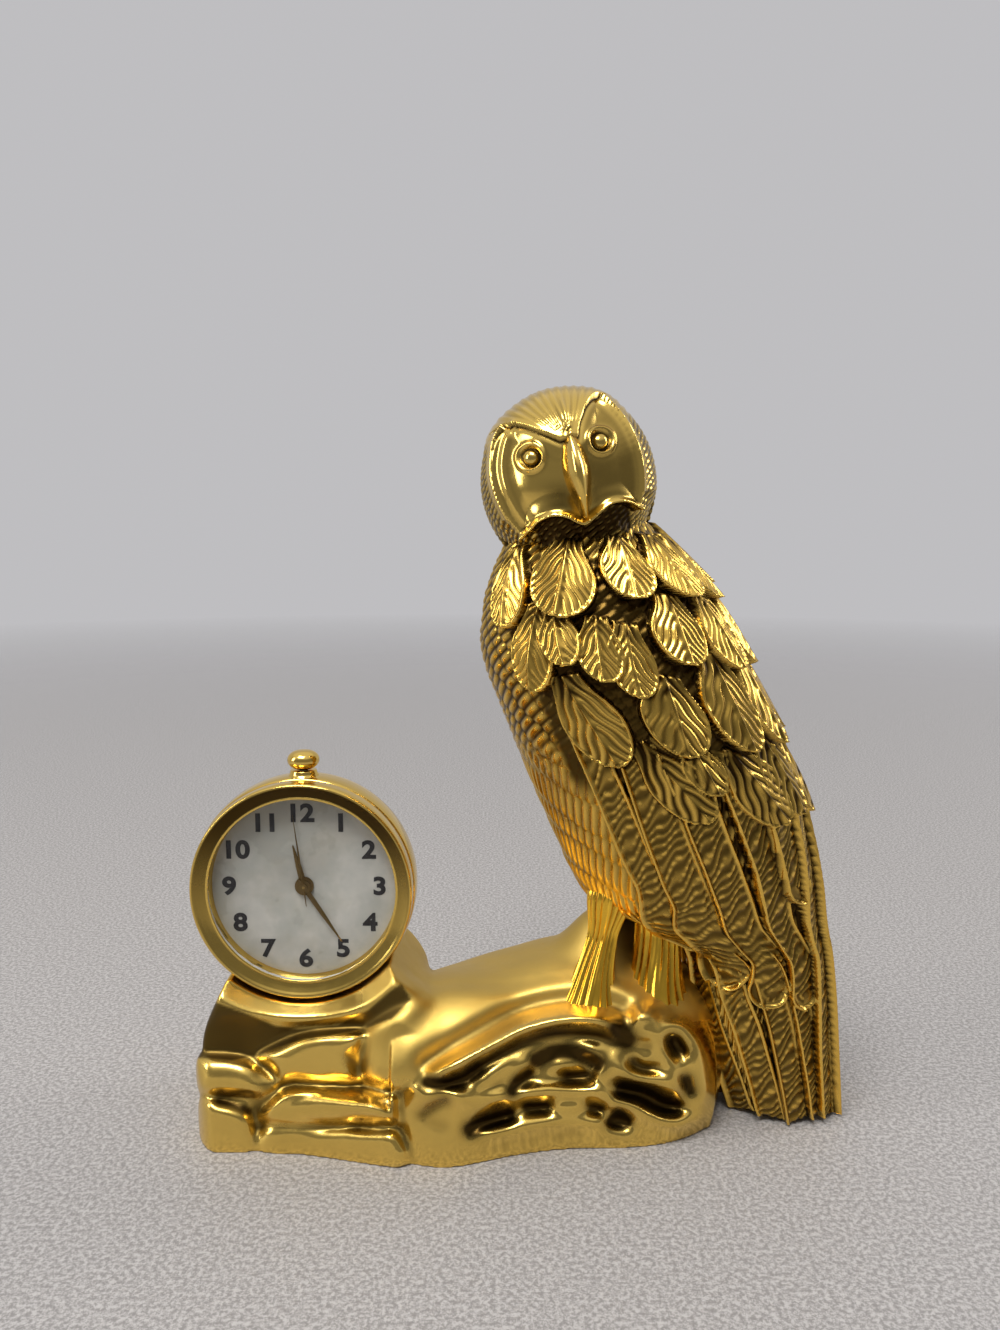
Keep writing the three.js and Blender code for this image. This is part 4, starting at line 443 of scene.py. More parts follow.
def strokes(angle, z, lean, pitch, length, seed):
    """Short engraved strokes in staggered rows, as on the breast and down the back."""
    x = angle * STROKE_SCALE
    a = x * math.cos(lean) + z * math.sin(lean)
    b = -x * math.sin(lean) + z * math.cos(lean)
    wobble = 0.35 * np.sin(a * 0.9 + seed) + 0.2 * np.sin(z * 1.7 + seed * 2)
    row = np.floor((a + wobble) / length)
    # each row has a shift of its own
    shift = np.modf(np.abs(np.sin(row * 12.9898 + seed) * 43758.5453))[0]
    line = 0.5 + 0.5 * np.cos(2 * np.pi * (b / pitch + shift))
    ends = np.sin(np.pi * np.clip(np.modf((a + wobble) / length + 100)[0], 0, 1)) ** 0.5
    return line * ends


def body_height(angle, z):
    """Lift of the surface over the plain body, and its painted shade."""
    side = np.where(angle > 90, 180 - angle, angle)
    side = np.where(side < -90, -180 - side, side)
    upper = smoothstep(z, 36.0, 42.0)
    breast = strokes(side, z, 0.62, 0.95, 2.1, 1.0) * upper
    breast = breast + strokes(side, z, 1.2, 0.8, 3.0, 2.0) * (1 - upper)
    height = STROKE_HEIGHT * breast - BREAST_SINK
    # painted shade: between the strokes, over the body between the leaf feathers, and on its lowest part on
    # one side
    tone = (0.6 + 0.4 * upper) * (1 - breast) ** 1.4 * smoothstep(z, 18.0, 30.0)
    tone = np.maximum(tone, 0.95 * smoothstep(side, -46, -40) * band(z, 34.0, 38.0, 56.0, 58.0))
    tone = np.maximum(tone, 0.9 * (1 - smoothstep(z, 21.5, 23.5)) * (1 - smoothstep(side, -58, -50)))
    girth = girth_per_degree(side, z)
    for blades, step, lowest in ((TAIL, 0.01, -0.12), (FLIGHTS, 0.02, 0.0)):
        for order, blade in enumerate(blades):
            lay_blade(height, tone, side, z, girth, *blade, step * order + lowest)
    for root, tip, width in COVERTS:
        lay_leaf(height, tone, side, z, root, tip, width, 0.012 * (tip[1] - 33))
    return height, tone


def blurred(field, times):
    """Evens a grid that closes on itself along its second axis."""
    for _ in range(times):
        field = (field + np.roll(field, 1, 1) + np.roll(field, -1, 1)) / 3
        padded = np.concatenate([field[:1], field, field[-1:]])
        field = (padded[:-2] + padded[1:-1] + padded[2:]) / 3
    return field


SCALLOP_HEIGHT = 1.2
# Painted shade in hollows: rounds of evening, and how far a place lies below the evened surface when it is
# fully dark
HOLLOWS = ((6, 0.22), (60, 0.42))


def body_piece(name, low, high, row_step, columns):
    """One length of the body between two heights, with its feathers and painted shade."""
    rows = int((high - low) / row_step) + 1
    z = np.linspace(low, high, rows)
    # finer columns on the side that shows its wing
    turn = np.linspace(0, 2 * np.pi, columns, endpoint=False)
    angle = np.degrees(turn - 0.32 * np.sin(turn))
    angle = np.where(angle > 270, angle - 360, angle)
    grid_angle, grid_z = np.meshgrid(angle, z)
    folded = np.where(grid_angle > 180, grid_angle - 360, grid_angle)
    height, tone = body_height(folded, grid_z)
    sunk = np.max([(blurred(height, times) - height) / depth for times, depth in HOLLOWS], axis=0)
    sunk = np.clip(np.maximum(np.clip(sunk, 0, 1) ** 1.2, tone), 0, 1)
    points = body_point(np.radians(grid_angle), grid_z, height)
    if low < 1:
        # the feather ends make a scalloped edge that just clears the table
        scallop = 0.45 * np.abs(np.sin(np.radians(grid_angle * 3.3 + 20)))
        points[..., 2] += scallop * np.clip(1 - (grid_z - low) / SCALLOP_HEIGHT, 0, 1)
    return tube(name, points, sunk, gold_feather)


owl_upper = body_piece("owl_shoulders", 40.0, 62.5, 0.16, 560)
owl_lower = body_piece("owl_wings", 20.0, 40.0, 0.17, 560)
owl_tail = body_piece("owl_tail", 0.3, 20.0, 0.18, 500)


# Owl head
HEAD_AT = np.array([4.3, -0.8, 65.9])
HEAD = {"width": 8.75, "height": 9.4, "front": 8.2, "back": 8.6}
HEAD_ROLL = math.radians(11.5)
EYES = [(-3.75, 3.0), (3.45, 3.2)]
# Outline of the face: the lower rim in two lobes, then both sides up to the brows
LOWER_RIM = [(-5.5, -4.1), (-4.4, -3.4), (-3.8, -3.0), (-2.8, -2.75), (-1.9, -2.85), (-1.1, -3.2),
             (-0.4, -3.75), (0.2, -4.05), (0.9, -3.8), (1.9, -3.2), (2.8, -2.75), (3.8, -2.7),
             (4.8, -3.0), (5.7, -3.7)]
LEFT_SIDE = [(-5.5, -4.1), (-6.5, -2.4), (-7.2, 0.2), (-7.2, 2.6), (-6.3, 4.9), (-5.2, 6.1)]
RIGHT_SIDE = [(5.7, -3.7), (6.3, -2.0), (6.6, 0.4), (6.4, 3.0), (5.6, 5.2), (4.2, 7.0)]
LEFT_BROW = [(-6.6, 5.9), (-5.2, 6.35), (-3.8, 6.0), (-2.4, 5.1), (-1.3, 4.3), (-0.5, 3.7)]
RIGHT_BROW = [(1.1, 3.7), (1.4, 4.6), (1.9, 5.6), (2.7, 6.7), (3.8, 7.5), (4.9, 7.3)]
# Heights and widths of the raised rims: below the face, at its sides, and the second one at its left
LOWER_RISE, SIDE_RISE, SECOND_RISE = (0.5, 0.22), (0.34, 0.26), (0.16, 0.25)
SECOND_SHIFT = np.array([0.85, 0.15])
# Rings of an eye as height, radius and width: socket, ring and the groove round the dome
EYE_RINGS = [(-0.18, 0.0, 2.1), (0.34, 1.28, 0.26), (-0.12, 0.9, 0.16)]
DOME_HEIGHT, DOME_RADIUS = 0.5, 0.74
# How the eyes keep clear of the painted shade
EYE_CLEAR = 1.6
BEAK_LINE = 0.35


def head_place(points):
    """From the head's own frame, x to its right, y up and z out of the face, to the model's."""
    x, y, z = points[..., 0], points[..., 1], points[..., 2]
    c, s = math.cos(HEAD_ROLL), math.sin(HEAD_ROLL)
    return np.stack([c * x - s * y, -z, s * x + c * y], -1) + HEAD_AT


def face_relief(x, y, front):
    """Relief of the face, where it lies, the distance to its edge and its painted shade."""
    rim, left, right = (smooth_path(p, 4) for p in (LOWER_RIM, LEFT_SIDE, RIGHT_SIDE))
    left_brow, right_brow = smooth_path(LEFT_BROW, 4), smooth_path(RIGHT_BROW, 4)
    outline = np.concatenate([rim, right[1:], right_brow[::-1], left_brow[::-1], left[::-1]])
    inside = inside_polygon(x, y, outline) & front
    rim_d, left_d, right_d = (gap_to(x, y, line) for line in (rim, left, right))
    brow_d = np.minimum(gap_to(x, y, left_brow), gap_to(x, y, right_brow))
    border = np.minimum(np.minimum(rim_d, brow_d), np.minimum(left_d, right_d))
    relief = np.zeros(x.shape)
    relief -= np.where(inside, 0.5 * smoothstep(border, 0.0, 1.9) + 0.08, 0.0)
    # the brows stand over the face like a cap's edge
    relief += np.where(inside, -0.25 * hump(brow_d, 0.7), 0.28 * hump(brow_d, 1.6)) * front
    # thin raised rims
    second = gap_to(x, y, left + SECOND_SHIFT)
    rims = ((rim_d, LOWER_RISE), (left_d, SIDE_RISE), (right_d, SIDE_RISE), (second, SECOND_RISE))
    for gap, (rise, wide) in rims:
        relief += front * rise * hump(gap, wide)
    # collar hollow under the rim
    under = front & ~inside & (rim_d < 3.4) & (y < -2.4)
    relief -= np.where(under, 0.5 * band(rim_d, 0.1, 0.5, 1.6, 3.0), 0.0)
    eyes = [np.hypot(x - ex, y - ey) for ex, ey in EYES]
    for r in eyes:
        for rise, radius, wide in EYE_RINGS:
            relief += front * rise * hump(r - radius, wide)
        relief += front * DOME_HEIGHT * np.sqrt(np.clip(1 - (r / DOME_RADIUS) ** 2, 0, 1))
    # cheeks between the eyes and the beak fall towards it
    relief -= np.where(inside, 0.35 * hump(x - BEAK_LINE, 1.7) * smoothstep(-y, -2.5, 1.0), 0)
    # wedge between the brows down to the beak
    ridge = hump(x - BEAK_LINE - 0.03 * (y - 3), 0.5) * band(y, 2.6, 3.6, 6.0, 8.0)
    relief += front * 0.35 * ridge
    # painted shade in the hollow under the face's rim
    bib = np.where(under, band(rim_d, 0.2, 0.45, 2.4, 3.3), 0.0) * band(x, -5.0, -4.2, 4.9, 5.6)
    # painted dark reflection in the bowls of the face, beside and below the beak
    left_bowl = 0.7 * hump(x + 1.7, 1.5) * smoothstep(-y, -0.8, 1.4)
    bowls = np.maximum(0.55 * smoothstep(x, 0.9, 2.0), left_bowl)
    bowls = bowls * np.where(inside, smoothstep(border, 0.15, 0.8), 0.0)
    for r in eyes:
        bowls = bowls * (1 - 0.75 * np.exp(-(r / EYE_CLEAR) ** 4))
    return relief, inside, border, np.maximum(bib, bowls)


# Lines round the crown, with their height, and the depth of the short bars
CROWN_LINES, CROWN_LINE_HEIGHT = 46, 0.05
BAR_DEPTH = 0.13


def build_head():
    """Head as a bent grid of directions, lifted by the face and by the engraving outside it."""
    rows, columns = 250, 380
    up = np.linspace(0.02, np.pi - 0.35, rows)
    turn = np.linspace(0, 2 * np.pi, columns, endpoint=False)
    turn = turn - 0.38 * np.sin(turn)
    t, p = np.meshgrid(turn, up)
    # longitude 0 faces the front
    nx, ny, nz = np.sin(p) * np.sin(t), np.cos(p), np.sin(p) * np.cos(t)
    depth = np.where(nz > 0, HEAD["front"], HEAD["back"])
    x, y, z = nx * HEAD["width"], ny * HEAD["height"], nz * depth
    front = nz > 0.05
    relief, inside, border, bib = face_relief(x, y, front)
    # engraving outside the face: fine lines over the crown, short bars round the sides and back
    crown = np.sin(np.arctan2(x - 0.3, y - 3.0) * CROWN_LINES)
    crown_share = smoothstep(y, 4.0, 6.0) * smoothstep(nz, -0.25, 0.15) * ~inside
    bars = strokes(np.degrees(t), y, 0.35, 0.62, 1.4, 4.0)
    side_share = (1 - crown_share) * ~inside * np.where(front, smoothstep(border, 0.35, 0.9), 1.0)
    relief = relief + CROWN_LINE_HEIGHT * crown * crown_share * smoothstep(border, 0.2, 0.8) * front
    relief = relief - BAR_DEPTH * (1 - bars) * side_share
    # painted shade in the hollows, in the grooves of the bars, under the rim and in the bowls of the face
    sunk = np.clip((blurred(relief, 6) - relief) / 0.14, 0, 1)
    sunk = np.maximum(sunk, 0.95 * (1 - bars) ** 1.2 * side_share)
    sunk = np.clip(np.maximum(sunk, bib * np.where(inside, 1.0, 1.3 - 0.45 * bars)), 0, 1)
    normal = np.stack([nx / HEAD["width"], ny / HEAD["height"], nz / depth], -1)
    normal /= np.linalg.norm(normal, axis=-1, keepdims=True)
    points = np.stack([x, y, z], -1) + normal * relief[..., None]
    return tube("owl_head", head_place(points), sunk, gold_face, flipped=True)


owl_head = build_head()


BEAK_TOP = 3.9
BEAK_LENGTH = 7.6
BEAK_X = 0.42


def build_beak():
    """Hooked beak: a bump at the top, two flat flanks and a point that turns down."""
    rows, columns = 48, 40
    f = np.linspace(0, 1, rows)
    y = BEAK_TOP - BEAK_LENGTH * f
    x_mid = BEAK_X + 0.02 * f
    half = 0.3 + 1.3 * np.sin(np.pi * np.clip(f * 0.82 + 0.12, 0, 1)) ** 1.2 * (1 - 0.45 * f)
    stand = 0.35 + 1.75 * np.sin(np.pi * np.clip(0.1 + 0.72 * f, 0, 1)) - 0.4 * f
    base = HEAD["front"] * np.sqrt(1 - (y / HEAD["height"]) ** 2 * 0.98) - 1.3
    k = np.linspace(0, 2 * np.pi, columns, endpoint=False)
    across = np.sin(k)
    out = np.maximum(np.cos(k), -0.3)
    shape = np.abs(out) ** 1.15 * np.sign(out)
    points = np.stack([
        x_mid[:, None] + half[:, None] * across * (1 - 0.25 * np.clip(out, 0, 1) ** 2),
        np.repeat(y[:, None], columns, 1),
        base[:, None] + (stand[:, None] + 0.9) * shape,
    ], -1)
    return tube("owl_beak", head_place(points), np.zeros((rows, columns)), gold_polished, flipped=True)


owl_beak = build_beak()

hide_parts("owl")
for piece in (owl_upper, owl_lower, owl_tail, owl_head, owl_beak):
    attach(piece, "stand")

# Rock base, modelled as a distance field
STEP = 0.24
FIELD_LOW = np.array([-34.6, -14.6, -0.7])
FIELD_HIGH = np.array([22.6, 13.4, 21.6])
axes = [np.arange(a, b, STEP, dtype=np.float32) for a, b in zip(FIELD_LOW, FIELD_HIGH)]
BASE_STATIONS = np.array([
    # place along x, front edge, back edge, top
    (-33.1, -5.3, 6.2, 8.6), (-29.0, -6.7, 6.9, 8.8), (-25.4, -7.7, 7.4, 9.0), (-19.4, -9.0, 8.2, 9.8),
    (-14.5, -10.2, 9.0, 11.2), (-9.7, -11.7, 10.2, 13.1), (-7.0, -11.8, 10.7, 13.9),
    (-4.4, -11.1, 11.2, 14.6), (-1.5, -10.1, 11.5, 15.3), (3.5, -9.0, 11.8, 16.5),
    (7.5, -8.8, 11.6, 16.8), (12.0, -8.5, 10.6, 15.4), (15.7, -7.3, 9.0, 13.0), (18.5, -4.8, 6.2, 9.0),
])


def soft_join(old, new, soft):
    """The lesser of two distances, with a soft edge where they meet."""
    share = np.clip(0.5 + 0.5 * (old - new) / soft, 0, 1)
    return old * (1 - share) + new * share - soft * share * (1 - share)


class Field:
    """Distance field on a grid; pieces are blended in or cut away with a soft edge."""

    def __init__(self):
        self.x, self.y, self.z = np.meshgrid(*axes, indexing="ij", sparse=True)
        self.values = np.full([len(a) for a in axes], 9.0, np.float32)

    def join(self, shape, low, high, soft, sign=1):
        low, high = np.asarray(low) - soft - 1, np.asarray(high) + soft + 1
        i, j, k = pick = tuple(slice(*np.searchsorted(axis, ends)) for axis, *ends in zip(axes, low, high))
        new = shape(self.x[i, :, :], self.y[:, j, :], self.z[:, :, k])
        self.values[pick] = sign * soft_join(sign * self.values[pick], new, soft)

    def cut(self, shape, low, high, soft):
        self.join(shape, low, high, soft, -1)


def lump(at, size, tilt):
    """Ellipsoid turned about Y by tilt, in degrees, with the box it fills."""
    ct, st = math.cos(math.radians(tilt)), math.sin(math.radians(tilt))

    def shape(x, y, z):
        x, y, z = x - at[0], y - at[1], z - at[2]
        x, z = x * ct + z * st, z * ct - x * st
        k = np.sqrt((x / size[0]) ** 2 + (y / size[1]) ** 2 + (z / size[2]) ** 2)
        g = np.sqrt((x / size[0] ** 2) ** 2 + (y / size[1] ** 2) ** 2 + (z / size[2] ** 2) ** 2)
        return k * (k - 1) / np.maximum(g, 1e-4)

    reach = max(size)
    return shape, np.asarray(at) - reach, np.asarray(at) + reach


def base_body(x, y, z):
    """Long rounded mound from the cradle's foot to the tail."""
    front, back, top = (hermite(BASE_STATIONS[:, 0], BASE_STATIONS[:, k], x) for k in (1, 2, 3))
    middle, half = (front + back) / 2, (back - front) / 2
    across = np.abs(y - middle) / half
    up = np.maximum(z, 0) / top
    k = (across**2.9 + up**2.9) ** (1 / 2.9)
    d = (k - 1) * np.minimum(half, top) * 0.9
    ends = np.maximum(BASE_STATIONS[0, 0] - x, x - BASE_STATIONS[-1, 0])
    return np.maximum(d, ends)


def rounded_box(low, high, radius):
    low, high = np.asarray(low) + radius, np.asarray(high) - radius

    def shape(*place):
        gaps = [np.maximum(a - p, p - b) for p, a, b in zip(place, low, high)]
        out = np.sqrt(sum(np.maximum(gap, 0) ** 2 for gap in gaps))
        return out + np.minimum(np.maximum(np.maximum(gaps[0], gaps[1]), gaps[2]), 0) - radius

    return shape, low - radius, high + radius


CLOCK_X, CLOCK_Z, CLOCK_FRONT_Y = -22.4, 25.4, -6.2
CASE_RADIUS = 11.4

# What the front shows, as places (x, z) on it.
# Water-worn rocks: outline, height and width over which the edge rounds
PILLOWS = [
    ([(-34.5, 10.2), (-31.4, 10.2), (-28.2, 10.0), (-26.2, 9.1), (-24.4, 7.4), (-24.6, 6.5), (-25.9, 5.9),
      (-29.1, 6.2), (-34.5, 6.4)], 1.9, 1.9),
    ([(-34.5, 5.8), (-31.5, 5.9), (-27.4, 5.3), (-26.9, 3.4), (-26.8, -2.5), (-34.5, -2.5)], 1.5, 1.7),
    ([(-26.5, 9.9), (-24.5, 11.2), (-21.6, 12.4), (-17.5, 12.8), (-15.5, 12.5), (-15.9, 11.0), (-16.3, 9.1),
      (-16.6, 7.3), (-20.1, 7.1), (-23.0, 7.5), (-24.2, 7.3), (-25.4, 9.1)], 2.3, 2.4),
    ([(-26.2, 3.2), (-25.7, 4.8), (-24.2, 6.3), (-21.7, 7.0), (-16.4, 6.7), (-12.9, 6.0), (-12.7, 4.3),
      (-13.0, 3.0), (-18.0, 2.8), (-22.9, 2.7)], 2.3, 2.2),
    ([(-25.9, 2.8), (-20.0, 2.7), (-16.6, 2.7), (-13.0, 2.5), (-12.4, -2.5), (-25.9, -2.5)], 1.6, 1.6),
]
# The hill's sheet: its crisp lobe over the rocks, running out towards the branch
HILL = [(-16.4, 7.4), (-16.4, 10.8), (-15.4, 13.4), (-11.0, 16.0), (-3.0, 21.0), (12.0, 21.0), (9.0, 13.6),
        (4.0, 13.6), (-2.0, 11.6), (-6.2, 9.6), (-10.0, 8.0), (-11.6, 7.0), (-13.4, 6.0)]
# Painted shade and dark reflection in the cradle's cove, under the saddle's lip
COVE_PAINTED_DARK = [(-33.4, 9.8), (-33.4, 14.2), (-31.1, 14.8), (-30.3, 15.9), (-27.7, 14.9), (-24.4, 13.4),
          (-21.6, 13.1), (-18.3, 13.6), (-15.5, 15.0), (-13.4, 16.9), (-12.0, 17.9), (-10.9, 15.9),
          (-12.9, 13.8), (-15.4, 12.8), (-19.1, 12.0), (-21.6, 11.6), (-24.4, 10.7), (-26.1, 9.9),
          (-28.9, 9.4)]
# Worn ridges: path, half width, height
CRESTS = [
    ([(-10.6, 6.7), (-9.2, 7.8), (-7.5, 8.8), (-5.2, 10.0), (-2.8, 11.4), (-0.4, 12.8), (2.1, 13.6),
      (4.5, 14.0), (6.9, 13.9), (8.6, 13.3), (10.2, 12.2)], 0.75, 1.9),
    ([(-6.4, 7.0), (-3.8, 7.9), (-1.5, 10.0), (1.3, 12.0), (3.3, 12.8), (5.3, 13.2), (7.8, 12.6), (9.2, 11.0),
      (8.8, 9.4)], 0.85, 0.75),
    ([(-1.9, 6.0), (-1.0, 7.7), (0.3, 9.3), (2.2, 10.3), (4.6, 10.5), (6.8, 10.2), (7.6, 8.6), (7.2, 7.0)],
     0.62, 1.05),
    ([(-4.8, 5.4), (-2.2, 5.9), (0.8, 6.2), (4.2, 6.4), (7.4, 6.1), (8.6, 5.2)], 0.6, 0.95),
    ([(-10.2, 5.0), (-8.8, 6.1), (-7.0, 6.0), (-5.8, 4.8)], 0.85, 1.0),
    ([(-6.2, 2.4), (-3.4, 2.0), (0.0, 2.6), (3.6, 3.2), (6.6, 3.0), (8.2, 1.9)], 0.7, 0.75),
    ([(8.6, 5.2), (10.4, 4.9), (12.2, 3.8), (14.6, 3.0), (16.8, 3.6)], 0.65, 0.95),
    ([(8.8, 9.4), (10.0, 8.0), (12.0, 7.6), (14.2, 7.2), (15.4, 6.0)], 0.65, 0.9),
    ([(10.8, 12.4), (12.8, 12.2), (13.4, 10.4), (14.4, 8.8), (15.0, 7.4)], 0.6, 0.85),
    ([(12.8, 12.6), (15.0, 12.9), (16.6, 10.4), (17.0, 7.6), (17.4, 4.4)], 0.75, 0.85),
    ([(11.2, 9.8), (12.4, 9.4)], 0.45, 0.5),
    ([(3.2, 4.7), (5.6, 4.75)], 0.42, 0.85),
    ([(2.6, 9.0), (5.2, 9.2)], 0.4, 0.55),
    ([(10.6, 14.0), (12.8, 14.2)], 1.0, 1.25),
    ([(-20.6, 5.2), (-14.6, 4.6)], 0.35, 0.22),
]
# Pits: path, half width, depth
DELLS = [
    ([(-9.6, 7.3), (-8.0, 7.1), (-6.0, 7.6), (-4.6, 8.8)], 0.6, 1.1),
    ([(-4.8, 8.9), (-2.8, 10.0), (0.0, 11.4), (2.9, 12.4), (7.0, 12.3), (9.0, 11.4)], 0.5, 0.9),
    ([(-5.3, 2.3), (-3.7, 3.1), (-1.8, 3.8)], 0.6, 1.35),
    ([(0.2, 4.7), (2.0, 4.8)], 0.45, 1.1),
    ([(6.6, 4.6), (7.5, 4.5)], 0.4, 1.0),
    ([(-0.5, 11.2), (1.8, 12.0)], 0.25, 0.35),
    ([(-1.3, 6.4), (-0.8, 7.4), (0.3, 8.2)], 0.5, 1.1),
    ([(-10.1, 3.9), (-9.0, 4.8), (-8.0, 5.4)], 0.45, 0.7),
    ([(1.2, 9.7), (2.9, 10.5), (5.0, 10.4), (7.1, 9.3)], 0.6, 1.3),
    ([(4.2, 7.9), (6.0, 8.1)], 0.55, 1.0),
    ([(8.6, 3.1), (9.3, 3.9), (10.0, 3.0), (8.6, 3.1)], 0.45, 1.2),
    ([(9.8, 6.5), (11.6, 6.0), (13.4, 5.0), (14.6, 4.9)], 0.68, 1.4),
    ([(10.6, 9.5), (11.4, 8.9), (12.2, 8.8)], 0.42, 0.9),
    ([(9.2, 12.9), (9.8, 11.8)], 0.8, 1.25),
    ([(14.6, 11.6), (15.3, 10.6)], 0.55, 1.1),
    ([(15.9, 7.6), (16.3, 6.4)], 0.5, 1.0),
    ([(-30.2, 5.4), (-28.8, 5.0), (-27.4, 4.3)], 0.42, 1.0),
    ([(-17.0, 2.9), (-15.4, 2.4), (-13.8, 2.2)], 0.34, 0.6),
    ([(-9.6, 3.2), (-8.2, 2.6)], 0.5, 0.3),
    ([(-17.2, 10.0), (-16.7, 8.4)], 0.4, 0.55),
    ([(-26.4, 8.0), (-25.5, 6.9)], 0.4, 0.6),
    ([(-14.4, 5.3), (-13.4, 4.7)], 0.35, 0.6),
]
# Valley between the hill and the branch
GROOVE = [(-9.8, 9.4), (-7.4, 11.0), (-4.8, 12.6), (-2.0, 14.2), (1.4, 15.5), (4.5, 16.0), (7.2, 15.9),
          (9.4, 15.0)]
GROOVE_DEPTH, GROOVE_WIDTH = 0.75, 0.95
# Share of their depth that the pits have in the relief
PIT_SHARE = 0.85
# Height of the front right of the rocks, and the plane it is drawn on
FRONT_LEVEL = 0.35
RELIEF_Y = -9.6
# Spacing of the grid that the relief is drawn on
PLAN = 0.24
SEAT_GAP = 0.06
SEAT_FLARE = 1.1
COVE_Y, COVE_Z, COVE_RADIUS = -12.4, 9.8, 5.2
# The smooth hill, then the rise under the legs: middle, half sizes, tilt in degrees and softness
LUMPS = [
    ((-9.0, -3.4, 8.0), (8.2, 7.0, 6.2), 12, 3.0),
    ((9.6, 2.4, 12.0), (5.6, 4.4, 9.2), 0, 2.4),
    ((13.4, 0.4, 9.6), (4.6, 6.6, 5.6), 12, 1.8),
    ((16.2, 0.5, 5.0), (5.2, 7.6, 10.0), 0, 1.8),
]


def front_place(x, y, z):
    """Where the line from the viewer through a place meets the plane the relief is drawn on."""
    t = (RELIEF_Y - CAMERA_AT[1]) / (y - CAMERA_AT[1])
    return CAMERA_AT[0] + (x - CAMERA_AT[0]) * t, CAMERA_AT[2] + (z - CAMERA_AT[2]) * t


def pit_depth(x, z, spread=1.4):
    """Depth of the pits; a wider spread gives the patina round them."""
    depth = np.zeros(np.shape(x))
    for path, half, deep in DELLS:
        depth = np.maximum(depth, deep * hump(gap_to(x, z, smooth_path(path, 4)), half * spread))
    return depth


def front_relief(x, z):
    """Height of the front's relief over the plain mound, and nothing above the branch."""
    height = np.zeros(x.shape)
    for outline, rise, soft in PILLOWS:
        path = smooth_path(outline, 4, closed=True)
        gap = gap_to(x, z, np.concatenate([path, path[:1]]))
        bulge = np.sqrt(1 - (1 - np.clip(gap / soft, 0, 1)) ** 2)
        height = np.maximum(height, np.where(inside_polygon(x, z, path), rise * bulge, 0))
    gap = gap_to(x, z, smooth_path(HILL + HILL[:1], 4))
    lobe = (1.5 - 1.15 * smoothstep(x, -13.0, -7.5)) * (1 - np.exp(-gap / 0.6))
    height = np.maximum(height, np.where(inside_polygon(x, z, HILL), lobe, 0))
    height = np.maximum(height, FRONT_LEVEL * smoothstep(x, -12.6, -10.6))
    for path, half, rise in CRESTS:
        gap, _, way, length = path_place(x, z, smooth_path(path, 6))
        taper = band(way / length, 0, 0.12, 0.88, 1) * 0.6 + 0.4
        height = height + rise * taper * np.exp(-(gap / half) ** 2 * 0.7)
    groove = GROOVE_DEPTH * hump(gap_to(x, z, smooth_path(GROOVE, 4)), GROOVE_WIDTH)
    return height - groove - PIT_SHARE * pit_depth(x, z)


CRADLE_LOW, CRADLE_HIGH = (-32.7, -8.4, -2), (-10.4, 5.6, 18.9)
# Each shoulder slopes on a plane: its direction in x and z and a place (x, z) on it
SHOULDERS = [(-0.903, 0.429, -30.0, 16.4), (0.727, 0.687, -13.7, 18.2)]


def cradle_block():
    """Block under the clock; its shoulders slope down to both sides."""
    box, low, high = rounded_box(CRADLE_LOW, CRADLE_HIGH, 2.4)

    def shape(x, y, z):
        d = -box(x, y, z)
        for nx, nz, at_x, at_z in SHOULDERS:
            d = soft_join(d, -(nx * (x - at_x) + nz * (z - at_z)), 0.9)
        return -d

    return shape, low, high


def seat(x, y, z):
    """Seat of the round case, widening towards the front."""
    flare = SEAT_FLARE * np.clip((-y - 6.5) / 1.9, 0, 1)
    return np.sqrt((x - CLOCK_X) ** 2 + (z - CLOCK_Z) ** 2) - (CASE_RADIUS + SEAT_GAP + flare)


def cove(x, y, z):
    """Long hollow that makes the cradle's front concave."""
    return np.sqrt((y - COVE_Y) ** 2 + ((z - COVE_Z) * 0.8) ** 2) - COVE_RADIUS + 0 * x


def under_table(x, y, z):
    return z + 0 * x + 0 * y


def fill_base():
    field = Field()
    field.join(base_body, FIELD_LOW, FIELD_HIGH, 0.1)
    field.join(*cradle_block(), 0.8)
    field.cut(cove, (-36, -18, 3), (-14.5, -6, 17), 0.4)
    for at, size, tilt, soft in LUMPS:
        field.join(*lump(at, size, tilt), soft)
    # the relief is drawn once, then read along the lines of view
    plan_x, plan_z = np.arange(-36.0, 24.0, PLAN), np.arange(-6.0, 26.0, PLAN)
    relief = front_relief(*np.meshgrid(plan_x, plan_z, indexing="ij"))
    relief = blurred(relief, 3) * smoothstep(plan_x, -33.4, -31.0)[:, None]
    for k, y in enumerate(axes[1]):
        weight = smoothstep(-y, 3.6, 6.8)
        if weight <= 0:
            continue
        at_x, at_z = front_place(axes[0], y, axes[2])
        gx, gz = (at_x - plan_x[0]) / PLAN, (at_z - plan_z[0]) / PLAN
        ix, iz = (np.clip(g.astype(int), 0, n - 2) for g, n in ((gx, len(plan_x)), (gz, len(plan_z))))
        fx, fz = (gx - ix)[:, None], (gz - iz)[None, :]
        row = relief[ix] * (1 - fx) + relief[ix + 1] * fx
        field.values[:, k, :] -= weight * (row[:, iz] * (1 - fz) + row[:, iz + 1] * fz)
    field.cut(seat, (-36, -14, 11), (-8, 9, 22), 0.35)
    field.cut(under_table, (-36, -16, -2), (22, 14, 0.2), 0.05)
    return field


CORNERS = [(i, j, k) for i in (0, 1) for j in (0, 1) for k in (0, 1)]


